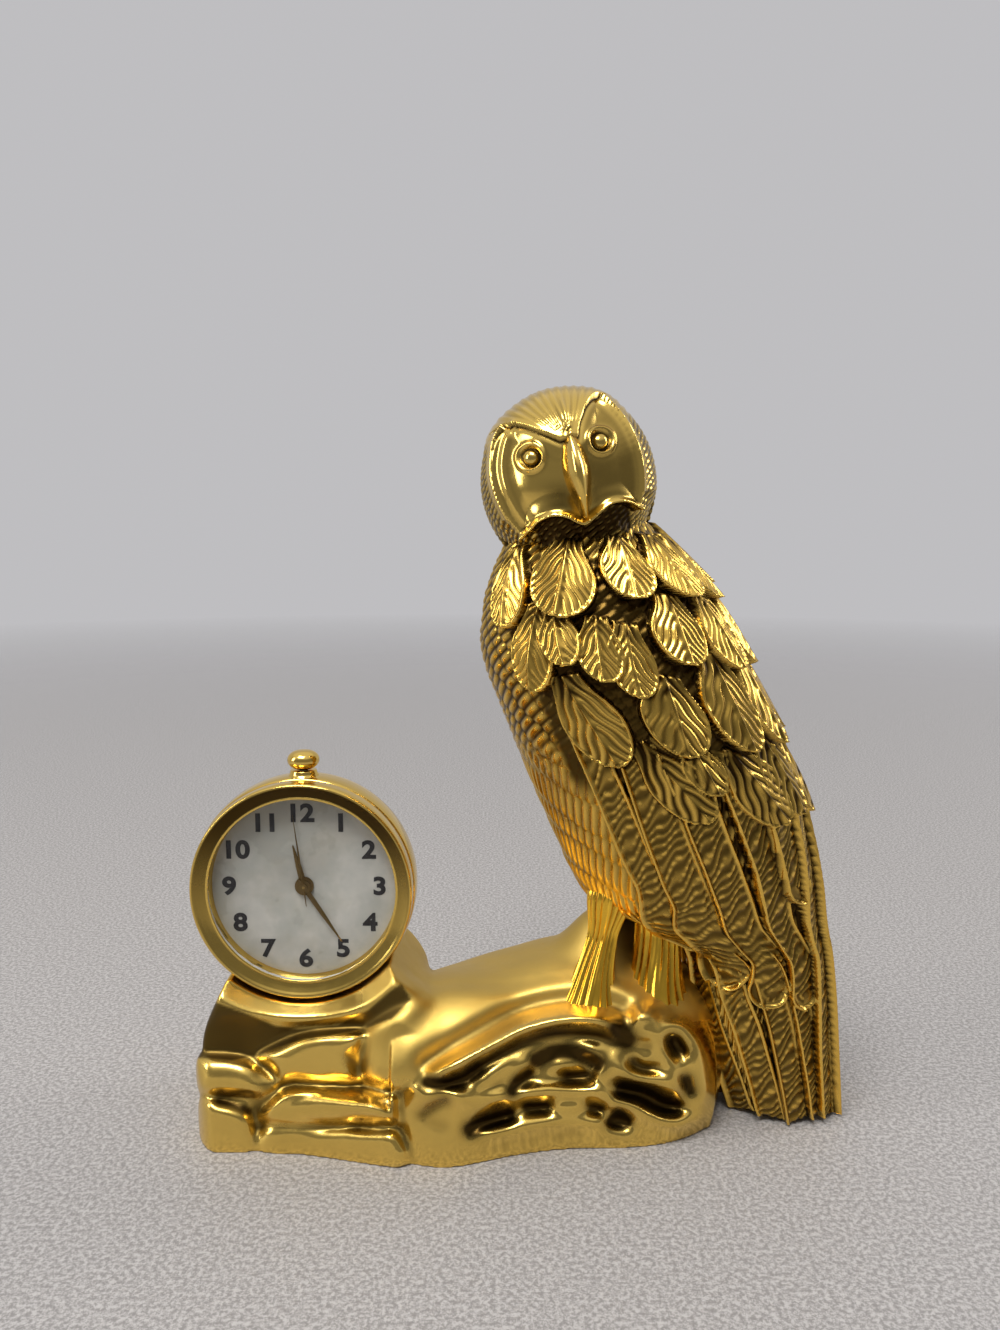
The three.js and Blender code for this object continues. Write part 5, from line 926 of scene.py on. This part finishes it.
def implicit_mesh(field):
    """Surface nets: one vertex in each crossed cell, then eased onto the surface."""
    v = field.values
    inside = v < 0
    shape = np.array(v.shape) - 1
    total = np.zeros(shape, np.int8)
    for i, j, k in CORNERS:
        total += inside[i:i + shape[0], j:j + shape[1], k:k + shape[2]]
    cells = np.argwhere((total > 0) & (total < 8))
    number = np.full(shape, -1, np.int32)
    number[tuple(cells.T)] = np.arange(len(cells))
    sums, counts = np.zeros((len(cells), 3)), np.zeros(len(cells))
    for a in CORNERS:
        for axis in range(3):
            if a[axis]:
                continue
            b = list(a)
            b[axis] = 1
            va, vb = v[tuple((cells + a).T)], v[tuple((cells + b).T)]
            cross = (va < 0) != (vb < 0)
            place = np.repeat(np.array(a, float)[None], len(cells), 0)
            place[:, axis] += va / np.where(cross, va - vb, 1)
            sums += place * cross[:, None]
            counts += cross
    points = (cells + sums / counts[:, None]) * STEP + np.array([a[0] for a in axes])
    quads = []
    for axis in range(3):
        across = [k for k in range(3) if k != axis]
        pick_a, pick_b = [slice(1, -1)] * 3, [slice(1, -1)] * 3
        pick_a[axis], pick_b[axis] = slice(0, -1), slice(1, None)
        a = inside[tuple(pick_a)]
        cell = np.argwhere(a != inside[tuple(pick_b)])
        flip = a[tuple(cell.T)] ^ (axis == 1)
        cell[:, across] += 1
        around = []
        for shift in ((0, 0), (-1, 0), (-1, -1), (0, -1)):
            beside = cell.copy()
            beside[:, across] += shift
            around.append(number[tuple(beside.T)])
        quad = np.stack(around, -1)
        quad[flip] = quad[flip][:, ::-1]
        quads.append(quad)
    return points, np.concatenate(quads)[:, ::-1]


def sample(field, points):
    """Field value at places, read between the grid's corners."""
    g = (points - np.array([a[0] for a in axes])) / STEP
    base = np.clip(np.floor(g).astype(int), 0, np.array(field.values.shape) - 2)
    f = g - base
    shares = [np.where(corner, f, 1 - f).prod(-1) for corner in CORNERS]
    return sum(share * field.values[tuple((base + corner).T)] for share, corner in zip(shares, CORNERS))


def slope(field, points):
    """How fast the field rises along each axis."""
    reach = STEP * 0.75
    rises = [sample(field, points + step) - sample(field, points - step) for step in np.eye(3) * reach]
    return np.stack(rises, -1) / (2 * reach)


def neighbour_mean(points, pairs, counts):
    a, b = pairs.T
    total = [np.bincount(a, p[b], len(p)) + np.bincount(b, p[a], len(p)) for p in points.T]
    return np.stack(total, -1) / counts[:, None]


EASING_ROUNDS = 3
HOLLOW_REACH = 4


def eased(field, points, quads):
    """Spreads the vertices evenly and puts them on the surface; returns how hollow each place is."""
    pairs = np.concatenate([quads[:, [k, (k + 1) % 4]] for k in range(4)])
    pairs = np.unique(np.sort(pairs, 1), axis=0)
    counts = np.bincount(pairs.ravel(), minlength=len(points)).astype(float)
    foot = points[:, 2] < 0.05
    for _ in range(EASING_ROUNDS):
        points = 0.5 * points + 0.5 * neighbour_mean(points, pairs, counts)
        g = slope(field, points)
        size = np.maximum((g**2).sum(-1), 0.2)
        points = points - g * (sample(field, points) / size)[:, None]
        points[foot, 2] = 0.0
    # against a much evened copy the hollows lie deep
    wide = points.copy()
    for _ in range(int(HOLLOW_REACH / STEP)):
        wide = neighbour_mean(wide, pairs, counts)
    g = slope(field, points)
    g /= np.maximum(np.linalg.norm(g, axis=-1, keepdims=True), 1e-6)
    return points, ((wide - points) * g).sum(-1)


def build_base():
    """Meshes the field, paints shade into its hollows, its cove, its pits and between the legs, and paints
    its satin places.
    """
    field = fill_base()
    points, quads = implicit_mesh(field)
    points, hollow = eased(field, points, quads)
    points[:, 2] = np.maximum(points[:, 2], 0.0)
    # painted shade in the hollows
    cavity = np.clip((hollow - 0.03) / 0.25, 0, 0.8)
    # painted shade and dark reflection in the cradle's concave front
    y = points[:, 1]
    x, z = front_place(*points.T)
    dark = smoothstep(gap_to(x, z, COVE_PAINTED_DARK + COVE_PAINTED_DARK[:1]), 0.0, 0.35) * smoothstep(-y, 1.5, 3.5)
    cavity = np.maximum(cavity, 0.9 * np.where(inside_polygon(x, z, COVE_PAINTED_DARK), dark, 0))
    # painted shade in the pits
    pits = np.clip(pit_depth(x, z, 1.75) * 1.1, 0, 1) ** 1.2 * smoothstep(-y, 4.0, 6.5)
    cavity = np.maximum(cavity, 0.97 * pits)
    # painted shade between the legs, under the body
    under = hump(points[:, 0] - 11.0, 2.3) * smoothstep(points[:, 2], 14.5, 16.5)
    under = under * band(y, -5.2, -3.2, 1.0, 3.6)
    cavity = np.maximum(cavity, 0.85 * under)
    # the top of the hill is satin, the worn wood below the branch is polished
    hill = smoothstep(x, -17.0, -14.5) * smoothstep(z - 0.55 * np.clip(x + 10, 0, 11), 6.5, 9.5)
    satin = np.maximum(1.3 * hill, 0.35 * smoothstep(-x, 12.0, 15.0))
    # the hill's colour is also a little darker
    cavity = np.maximum(cavity, 0.26 * hill)
    return mesh_object("rock_casting", points, quads, gold_base, cavity=cavity, satin=satin)


rock = build_base()
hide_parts("rock_base")
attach(rock, "stand")

# Legs


FLUTES, FLUTE_HEIGHT = 19, 0.2
LOCKS, LOCK_HEIGHT = 5, 0.14
THIGH = 1.2
THIGH_FROM, THIGH_TO = 19.6, 24.5


def build_leg(name, foot, top, ankle, spread, fall, seed):
    """Feathered leg: narrow at the ankle, wide in the thigh and spreading in flutes onto the rock."""
    rows, columns = 72, 168
    f = np.linspace(0, 1, rows)[:, None]
    turn = np.linspace(0, 2 * np.pi, columns, endpoint=False)[None, :]
    z = foot[2] + (top[2] - foot[2]) * f
    radius = ankle + spread * np.exp(-(z - foot[2] - 0.6) / fall)
    radius = radius + THIGH * smoothstep(z, THIGH_FROM, THIGH_TO)
    sway = 0.5 * np.sin(z * 0.8 + seed) + 0.6 * np.sin(turn * 3 + z * 0.5)
    flutes = 0.5 + 0.5 * np.cos(turn * FLUTES + sway)
    locks = 0.5 + 0.5 * np.cos(turn * LOCKS + z * 0.4 + seed)
    relief = FLUTE_HEIGHT * flutes + LOCK_HEIGHT * locks
    grown = radius + relief - 0.25
    x = foot[0] + (top[0] - foot[0]) * f + grown * np.cos(turn)
    y = foot[1] + (top[1] - foot[1]) * f + grown * 0.94 * np.sin(turn)
    # painted shade in the valleys between the flutes and locks
    cavity = 0.6 * np.clip(1 - relief / LOCK_HEIGHT, 0, 1)
    made = tube(name, np.stack([x, y, z + 0 * x], -1), cavity, gold_leg)
    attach(made, "stand")


build_leg("owl_leg_near", (6.1, -4.6, 12.0), (9.8, -2.2, 27.0), 1.25, 2.2, 3.6, 0.4)
build_leg("owl_leg_far", (13.6, -2.8, 11.0), (14.4, -0.6, 24.0), 2.3, 2.0, 2.6, 2.2)

# Clock
ROUND = 192


def clock_place(points):
    """From the clock's own frame, x right, y up and z to the viewer from its front plane."""
    points = np.asarray(points, float)
    return np.stack([CLOCK_X + points[..., 0], CLOCK_FRONT_Y - points[..., 2], CLOCK_Z + points[..., 1]], -1)


def rounded_profile(points, reach, steps):
    """Closed profile whose corners are rounded."""
    made = []
    points = np.asarray(points, float)
    for before, here, after in zip(np.roll(points, 1, 0), points, np.roll(points, -1, 0)):
        a, b = before - here, after - here
        la, lb = np.linalg.norm(a), np.linalg.norm(b)
        cut = min(reach, la * 0.45, lb * 0.45)
        if here[0] < 1e-6:
            made.append(here)
            continue
        start, end = here + a / la * cut, here + b / lb * cut
        for t in np.linspace(0, 1, steps + 1):
            made.append((1 - t) ** 2 * start + 2 * t * (1 - t) * here + t**2 * end)
    return np.array(made)


def bmesh_object(name, bm, material):
    """Smooth object from a finished bmesh in metres."""
    bmesh.ops.recalc_face_normals(bm, faces=bm.faces)
    mesh = bpy.data.meshes.new(name)
    bm.to_mesh(mesh)
    bm.free()
    smooth_faces(mesh)
    return show(name, mesh, material)


def lathe(name, profile, material, steps=ROUND, place=clock_place):
    """Ring of a closed profile of (radius, z) turned about z; points on the axis are welded."""
    radius, z = np.asarray(profile, float).T[..., None]
    turn = np.linspace(0, 2 * np.pi, steps, endpoint=False)
    ring = np.stack([radius * np.cos(turn), radius * np.sin(turn), np.repeat(z, steps, 1)], -1)
    bm = bmesh.new()
    verts = [bm.verts.new(p) for p in (place(ring).reshape(-1, 3) + SHIFT) / 1000]
    for i in range(len(radius)):
        k = (i + 1) % len(radius)
        if max(radius[i], radius[k]) < 1e-6:
            continue
        for j in range(steps):
            m = (j + 1) % steps
            bm.faces.new([verts[n] for n in (i * steps + j, i * steps + m, k * steps + m, k * steps + j)])
    bmesh.ops.remove_doubles(bm, verts=bm.verts, dist=1e-8)
    return bmesh_object(name, bm, material)


def tint(piece, tone):
    """Painted shade on a finished piece, from its places in millimetres."""
    co = np.zeros(len(piece.data.vertices) * 3)
    piece.data.vertices.foreach_get("co", co)
    paint(piece.data, "cavity", np.clip(tone(*(co.reshape(-1, 3) * 1000 - SHIFT).T), 0, 1))
    return piece


def add(piece, body, slot, *nodes):
    """Says what a piece rides and hides the solids that it stands in for; slot is not used."""
    if nodes:
        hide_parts(*nodes)
    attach(piece, body)
    return piece


case_profile = rounded_profile([
    (10.3, -1.66), (11.22, -1.66), (11.36, -2.3), (11.4, -3.1), (11.36, -4.2), (11.2, -5.2), (10.9, -6.0),
    (10.5, -6.4), (10.3, -6.4),
], 0.3, 5)
case_band = lathe("case_band", case_profile, gold_polished)
bezel_profile = rounded_profile([
    (10.74, -0.02), (10.98, -0.02), (11.1, -0.2), (11.16, -0.5), (11.2, -1.6), (10.2, -1.6), (10.2, -2.2),
    (9.95, -2.2), (9.95, -0.75), (9.42, -0.75), (9.42, -0.6), (9.62, -0.56), (9.7, -0.62), (10.1, -0.42),
    (10.5, -0.2),
], 0.06, 3)


def bezel_tone(x, y, z):
    """Painted shade: the funnel of the bezel is dark above and light below."""
    r = np.hypot(x - CLOCK_X, z - CLOCK_Z)
    funnel = band(r, 9.62, 9.7, 10.8, 10.95) * (y < CLOCK_FRONT_Y + 0.8)
    return funnel * (0.25 + 0.72 * smoothstep((z - CLOCK_Z) / r, -0.75, 0.75))


add(tint(lathe("bezel_ring", bezel_profile, gold_face), bezel_tone), "stand", "gold_plate", "bezel")


def join_meshes(target, other, smooth=True):
    """Puts the mesh of another object into the target's."""
    bm = bmesh.new()
    bm.from_mesh(target.data)
    bm.from_mesh(other.data)
    bmesh.ops.recalc_face_normals(bm, faces=bm.faces)
    bm.to_mesh(target.data)
    bm.free()
    smooth_faces(target.data, smooth)
    bpy.data.objects.remove(other)


def clock_box(name, low, high, bevel, material):
    """Box in the clock's frame with rounded edges."""
    bm = bmesh.new()
    bmesh.ops.create_cube(bm, size=1.0)
    low, high = np.asarray(low, float), np.asarray(high, float)
    for v in bm.verts:
        v.co = Vector(low + (np.array(v.co) + 0.5) * (high - low))
    bmesh.ops.bevel(bm, geom=bm.edges[:], offset=bevel, segments=3, affect="EDGES")
    for v in bm.verts:
        v.co = Vector((clock_place(np.array(v.co)) + SHIFT) / 1000)
    return bmesh_object(name, bm, material)


foot = clock_box("case_foot", (-2.0, -13.1, -5.0), (2.0, -10.6, -2.2), 0.2, gold_polished)
join_meshes(case_band, foot)
add(case_band, "stand", "gold_plate", "case_body")


def pearl_material():
    made = Shader("pearl_face")
    cloud = made.noise(120.0, 4.0, 0.6)
    warm = made.span(cloud, 0.42, 0.6)
    fine = made.span(made.noise(330.0, 4.0, 0.6), 0.35, 0.65)
    colour = made.blend(warm, (0.55, 0.525, 0.44), (0.73, 0.71, 0.64))
    colour = made.blend(made.math("MULTIPLY", fine, 0.55), colour, (0.46, 0.48, 0.44))
    made.put("Base Color", colour)
    made.put("Roughness", made.span(cloud, 0.3, 0.7, 0.22, 0.36))
    made.put("Coat Weight", 0.5)
    made.put("Coat Roughness", 0.08)
    made.bump(made.noise(420.0, 4.0, 0.6), 0.12, 0.00004)
    return made.owner


def ink_material():
    made = Shader("ink_black")
    made.put("Base Color", made.blend(made.noise(800.0), (0.016, 0.014, 0.016), (0.028, 0.026, 0.028)))
    made.put("Roughness", made.span(made.noise(1200.0), 0.3, 0.7, 0.3, 0.42))
    return made.owner


def glass_material():
    made = Shader("crystal_glass")
    made.put("Base Color", (0.02, 0.02, 0.02))
    made.put("Roughness", made.span(made.noise(60.0), 0.3, 0.7, 0.01, 0.03))
    made.put("Alpha", 0.10)
    made.put("IOR", 1.5)
    return made.owner


pearl, ink, crystal_glass = pearl_material(), ink_material(), glass_material()
hand_gold = gold("gold_hand", (0.25, 0.165, 0.06), (0.05, 0.03, 0.01), 0.28, 0.4, 1500.0, 0.00002)

# Levels behind the clock's front plane
HAND_Z = {"second": -1.70, "minute": -1.90, "hour": -2.10}
CRYSTAL_BACK, CRYSTAL_FRONT = -1.5, -0.8
DIAL_BACK, DIAL_FRONT = -2.45, -2.2
crystal_profile = rounded_profile([
    (0, CRYSTAL_BACK), (9.6, CRYSTAL_BACK), (9.6, -0.92), (9.48, CRYSTAL_FRONT), (0, CRYSTAL_FRONT),
], 0.08, 3)
add(lathe("crystal_disc", crystal_profile, crystal_glass), "stand", "clear_glass", "crystal")
dial_profile = [(0.95, DIAL_BACK), (9.9, DIAL_BACK), (9.9, DIAL_FRONT), (0.95, DIAL_FRONT)]
dial_profile = rounded_profile(dial_profile, 0.04, 2)
add(lathe("dial_face", dial_profile, pearl), "stand", "pearl", "dial")
rehaut = rounded_profile([(9.36, DIAL_FRONT), (9.9, DIAL_FRONT), (9.9, -1.52), (9.62, -1.52)], 0.05, 2)
add(lathe("dial_ring", rehaut, gold_polished), "stand", "gold_plate")

# The clock's crown: how far out and how far back its middle lies, its radius and its half height
CROWN_OUT, CROWN_BACK, CROWN_RADIUS, CROWN_HALF = 12.88, 3.35, 1.62, 1.0
CROWN_STEPS = 24
# The bead starts this far, in radians, from its lower pole, on the flat that faces the collar
CROWN_FLAT = 0.16


def crown_place(points):
    """From the crown's own frame, z away from the clock's middle, to the model's."""
    return clock_place(np.stack([points[..., 0], points[..., 2], points[..., 1] - CROWN_BACK], -1))


crown_points = [(0.0, 11.9)]
for k in range(CROWN_STEPS):
    a = -0.5 * math.pi + CROWN_FLAT + (math.pi - CROWN_FLAT) * k / CROWN_STEPS
    crown_points.append((CROWN_RADIUS * math.cos(a) ** 0.8, CROWN_OUT + CROWN_HALF * math.sin(a)))
crown_points.append((0.0, CROWN_OUT + CROWN_HALF))
add(lathe("crown_bead", crown_points, gold_polished, 96, crown_place), "crown", "gold_plate", "crown")
collar = rounded_profile([(0.45, 11.2), (1.65, 11.2), (1.4, 11.5), (1.3, 11.86), (0.45, 11.86)], 0.08, 3)
add(lathe("crown_collar", collar, gold_polished, 96, crown_place), "stand", "gold_plate", "crown_tube")


FIGURE_SIZE = 2.55
FIGURE_WIDER = 1.12
FIGURE_RADIUS = 7.65


def numeral(hour):
    """Plain bold figure lying on the dial at its hour."""
    curve = bpy.data.curves.new("figure", "FONT")
    curve.body = str(hour)
    curve.size = FIGURE_SIZE
    curve.offset = 0.095
    curve.extrude = 0.02
    curve.align_x = "CENTER"
    curve.resolution_u = 6
    maker = show("figure", curve)
    bpy.context.view_layer.update()
    graph = bpy.context.evaluated_depsgraph_get()
    mesh = bpy.data.meshes.new_from_object(maker.evaluated_get(graph))
    bpy.data.objects.remove(maker)
    co = np.zeros(len(mesh.vertices) * 3)
    mesh.vertices.foreach_get("co", co)
    co = co.reshape(-1, 3)
    local = (co - (co.min(0) + co.max(0)) / 2) * (FIGURE_WIDER, 1, 1)
    angle = math.radians(90 - 30 * hour)
    local += (FIGURE_RADIUS * math.cos(angle), FIGURE_RADIUS * math.sin(angle), DIAL_FRONT + 0.01)
    mesh.vertices.foreach_set("co", ((clock_place(local) + SHIFT) / 1000).astype(np.float32).ravel())
    mesh.update()
    mesh.materials.clear()
    return add(show(f"figure_{hour:02d}", mesh, ink), "stand", "pearl")


for hour in range(1, 13):
    numeral(hour)


def hand(name, body, node, length, width, tail, hub, angle, z):
    """Slim hand with a ridge along its middle and a round hub."""
    half = width / 2
    left = [(-half * 0.35, -tail), (-half, 0.0), (-half * 0.8, length * 0.5), (-half * 0.18, length)]
    outline = left + [(-x, y) for x, y in left[::-1]]
    points = [(x, y, level) for level in (z, z + 0.03) for x, y in outline]
    points += [(0, y, z + 0.1) for x, y in left]
    n, ridge = 8, 16
    slopes = [(n + k, n + k + 1, ridge + k + 1, ridge + k) for k in range(3)]
    slopes += [(n + k + 4, n + k + 5, ridge + 2 - k, ridge + 3 - k) for k in range(3)]
    slopes += [(n + 3, n + 4, ridge + 3), (n + 7, n, ridge)]
    faces = [tuple(range(n))[::-1]]
    faces += [(i, (i + 1) % n, n + (i + 1) % n, n + i) for i in range(n)]
    faces += [face[::-1] for face in slopes]
    c, s = math.cos(math.radians(-angle)), math.sin(math.radians(-angle))
    turned = [(c * x - s * y, s * x + c * y, w) for x, y, w in points]
    blade = mesh_object(name, clock_place(turned), faces, hand_gold, smooth=False)
    boss = rounded_profile([(0.12, z), (hub, z), (hub, z + 0.1), (0.12, z + 0.1)], 0.03, 2)
    join_meshes(blade, lathe("boss", boss, hand_gold, 48), smooth=False)
    return add(blade, body, "dark_gold", node)


hand("hour_pointer", "hours", "hour_hand", 4.4, 0.72, 0.9, 0.95, 346, HAND_Z["hour"])
hand("minute_pointer", "minutes", "minute_hand", 6.9, 0.56, 1.0, 0.7, 147, HAND_Z["minute"])
hand("second_pointer", "seconds", "second_hand", 7.6, 0.2, 2.0, 0.42, 353, HAND_Z["second"])

# Parts kept from the solid


def satin(name, light, dark, rough, metal, lines):
    """Plain part finish: cloudy tone, grained roughness and, with lines, a fine parallel relief."""
    made = Shader(name)
    made.put("Metallic", metal)
    made.put("Base Color", made.blend(made.span(made.noise(300.0), 0.3, 0.7), light, dark))
    made.put("Roughness", made.span(made.noise(1500.0, 4.0, 0.6), 0.3, 0.7, *rough))
    if lines:
        inputs = {"Vector": made.place, "Scale": lines, "Distortion": 0.4}
        made.bump(made.node("ShaderNodeTexWave", inputs, "Fac"), 0.35, 0.00003)
    else:
        made.bump(made.noise(2600.0, 3.0), 0.15, 0.00001)
    return made.owner


# Finish, its two tones, its roughness, how metallic it is, its lines and the solids that have it
KEPT = [
    ("brass_satin", (0.60, 0.42, 0.15), (0.52, 0.36, 0.12), (0.26, 0.38), 1.0, 0.0,
     ("hour_wheel", "minute_wheel", "centre_wheel", "third_wheel", "fourth_wheel", "intermediate_wheel")),
    ("brass_brushed", (0.62, 0.44, 0.16), (0.53, 0.37, 0.12), (0.28, 0.4), 1.0, 2400.0, ("main_plate",)),
    ("gold_brushed", (0.80, 0.55, 0.14), (0.70, 0.46, 0.11), (0.24, 0.36), 1.0, 2200.0, ("case_back",)),
    ("steel_bright", (0.58, 0.59, 0.61), (0.48, 0.49, 0.51), (0.16, 0.28), 1.0, 0.0,
     ("owl_screw", "clock_screw", "bridge_screw_1", "bridge_screw_2", "bridge_screw_3", "rotor", "coil_core",
      "quartz_can", "setting_lever", "winding_stem", "stem_pinion", "battery_strap")),
    ("steel_brushed", (0.56, 0.57, 0.58), (0.46, 0.47, 0.48), (0.24, 0.36), 1.0, 2000.0,
     ("stator", "battery", "train_bridge")),
    ("copper_coil", (0.50, 0.20, 0.07), (0.38, 0.14, 0.05), (0.2, 0.32), 1.0, 3600.0, ("coil_winding",)),
    ("board_green", (0.035, 0.15, 0.06), (0.025, 0.11, 0.045), (0.3, 0.45), 0.0, 0.0, ("circuit_board",)),
    ("plastic_pale", (0.66, 0.64, 0.58), (0.58, 0.56, 0.50), (0.42, 0.55), 0.0, 0.0,
     ("crystal_gasket", "movement_ring")),
    ("rubber_black", (0.018, 0.018, 0.019), (0.028, 0.028, 0.029), (0.6, 0.78), 0.0, 0.0, ("back_gasket",)),
]
for name, light, dark, rough, metal, lines, nodes in KEPT:
    finish = satin(name, light, dark, rough, metal, lines)
    for node in nodes:
        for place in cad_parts[node].material_slots:
            place.material = finish


# Stage and light
# The table ends some way behind the clock; beyond it the pale room is seen.
TABLE_EDGE = 0.68


def floor_material():
    made = Shader("floor_paper")
    speck = made.span(made.noise(2300.0, 6.0, 0.8), 0.44, 0.57)
    made.put("Base Color", made.blend(speck, (0.20, 0.188, 0.18), (0.385, 0.368, 0.352)))
    made.put("Roughness", 0.6)
    # the far edge fades into the room, as out of focus
    reach = made.node("ShaderNodeVectorMath", {0: made.place}, "Value", operation="LENGTH")
    made.put("Alpha", made.span(reach, 0.1, TABLE_EDGE, 1.0, 0.0))
    return made.owner


mesh = bpy.data.meshes.new("floor")
turns = [2 * math.pi * k / 64 for k in range(64)]
rim = [(TABLE_EDGE * math.cos(a), TABLE_EDGE * math.sin(a), 0) for a in turns]
mesh.from_pydata(rim, [], [range(64)])
floor = show("floor", mesh, floor_material())

# A pale room for every ray: dim behind the viewer, light ahead and overhead.
ROOM_COLOUR = (0.52, 0.515, 0.53)
OVERHEAD_LEVEL = 1.4
DIM_LEVEL = 0.42
world = bpy.data.worlds.new("studio")
bpy.context.scene.world = world
room = Shader("studio", world, "Background", "Generated")
ahead, overhead = (room.node("ShaderNodeSeparateXYZ", {0: room.place}, axis) for axis in "YZ")
ahead = room.span(ahead, -0.75, 0.35, interpolation_type="SMOOTHSTEP")
overhead = room.span(overhead, 0.3, 0.8, interpolation_type="SMOOTHSTEP")
level = room.math("MAXIMUM", ahead, room.math("MULTIPLY", overhead, OVERHEAD_LEVEL))
level = room.math("MAXIMUM", level, DIM_LEVEL)
room.put("Color", room.node("ShaderNodeVectorMath", {0: ROOM_COLOUR, "Scale": level}, operation="SCALE"))
room.put("Strength", 1.0)

# What the lamps point at
LIT = Vector((0, 0, 0.04))


def lamp(name, location, size, power):
    data = bpy.data.lights.new(name, "AREA")
    data.shape = "RECTANGLE"
    data.size, data.size_y = size
    data.energy = power
    made = show(name, data)
    made.location = location
    made.rotation_euler = (LIT - Vector(location)).to_track_quat("-Z", "Y").to_euler()


lamp("lamp_top", (-0.10, -0.22, 0.55), (0.30, 0.22), 3.2)
lamp("lamp_side", (0.45, 0.10, 0.30), (0.12, 0.25), 0.8)
lamp("lamp_left", (-0.45, -0.15, 0.22), (0.12, 0.30), 0.8)

bpy.context.scene.view_settings.view_transform = "Standard"
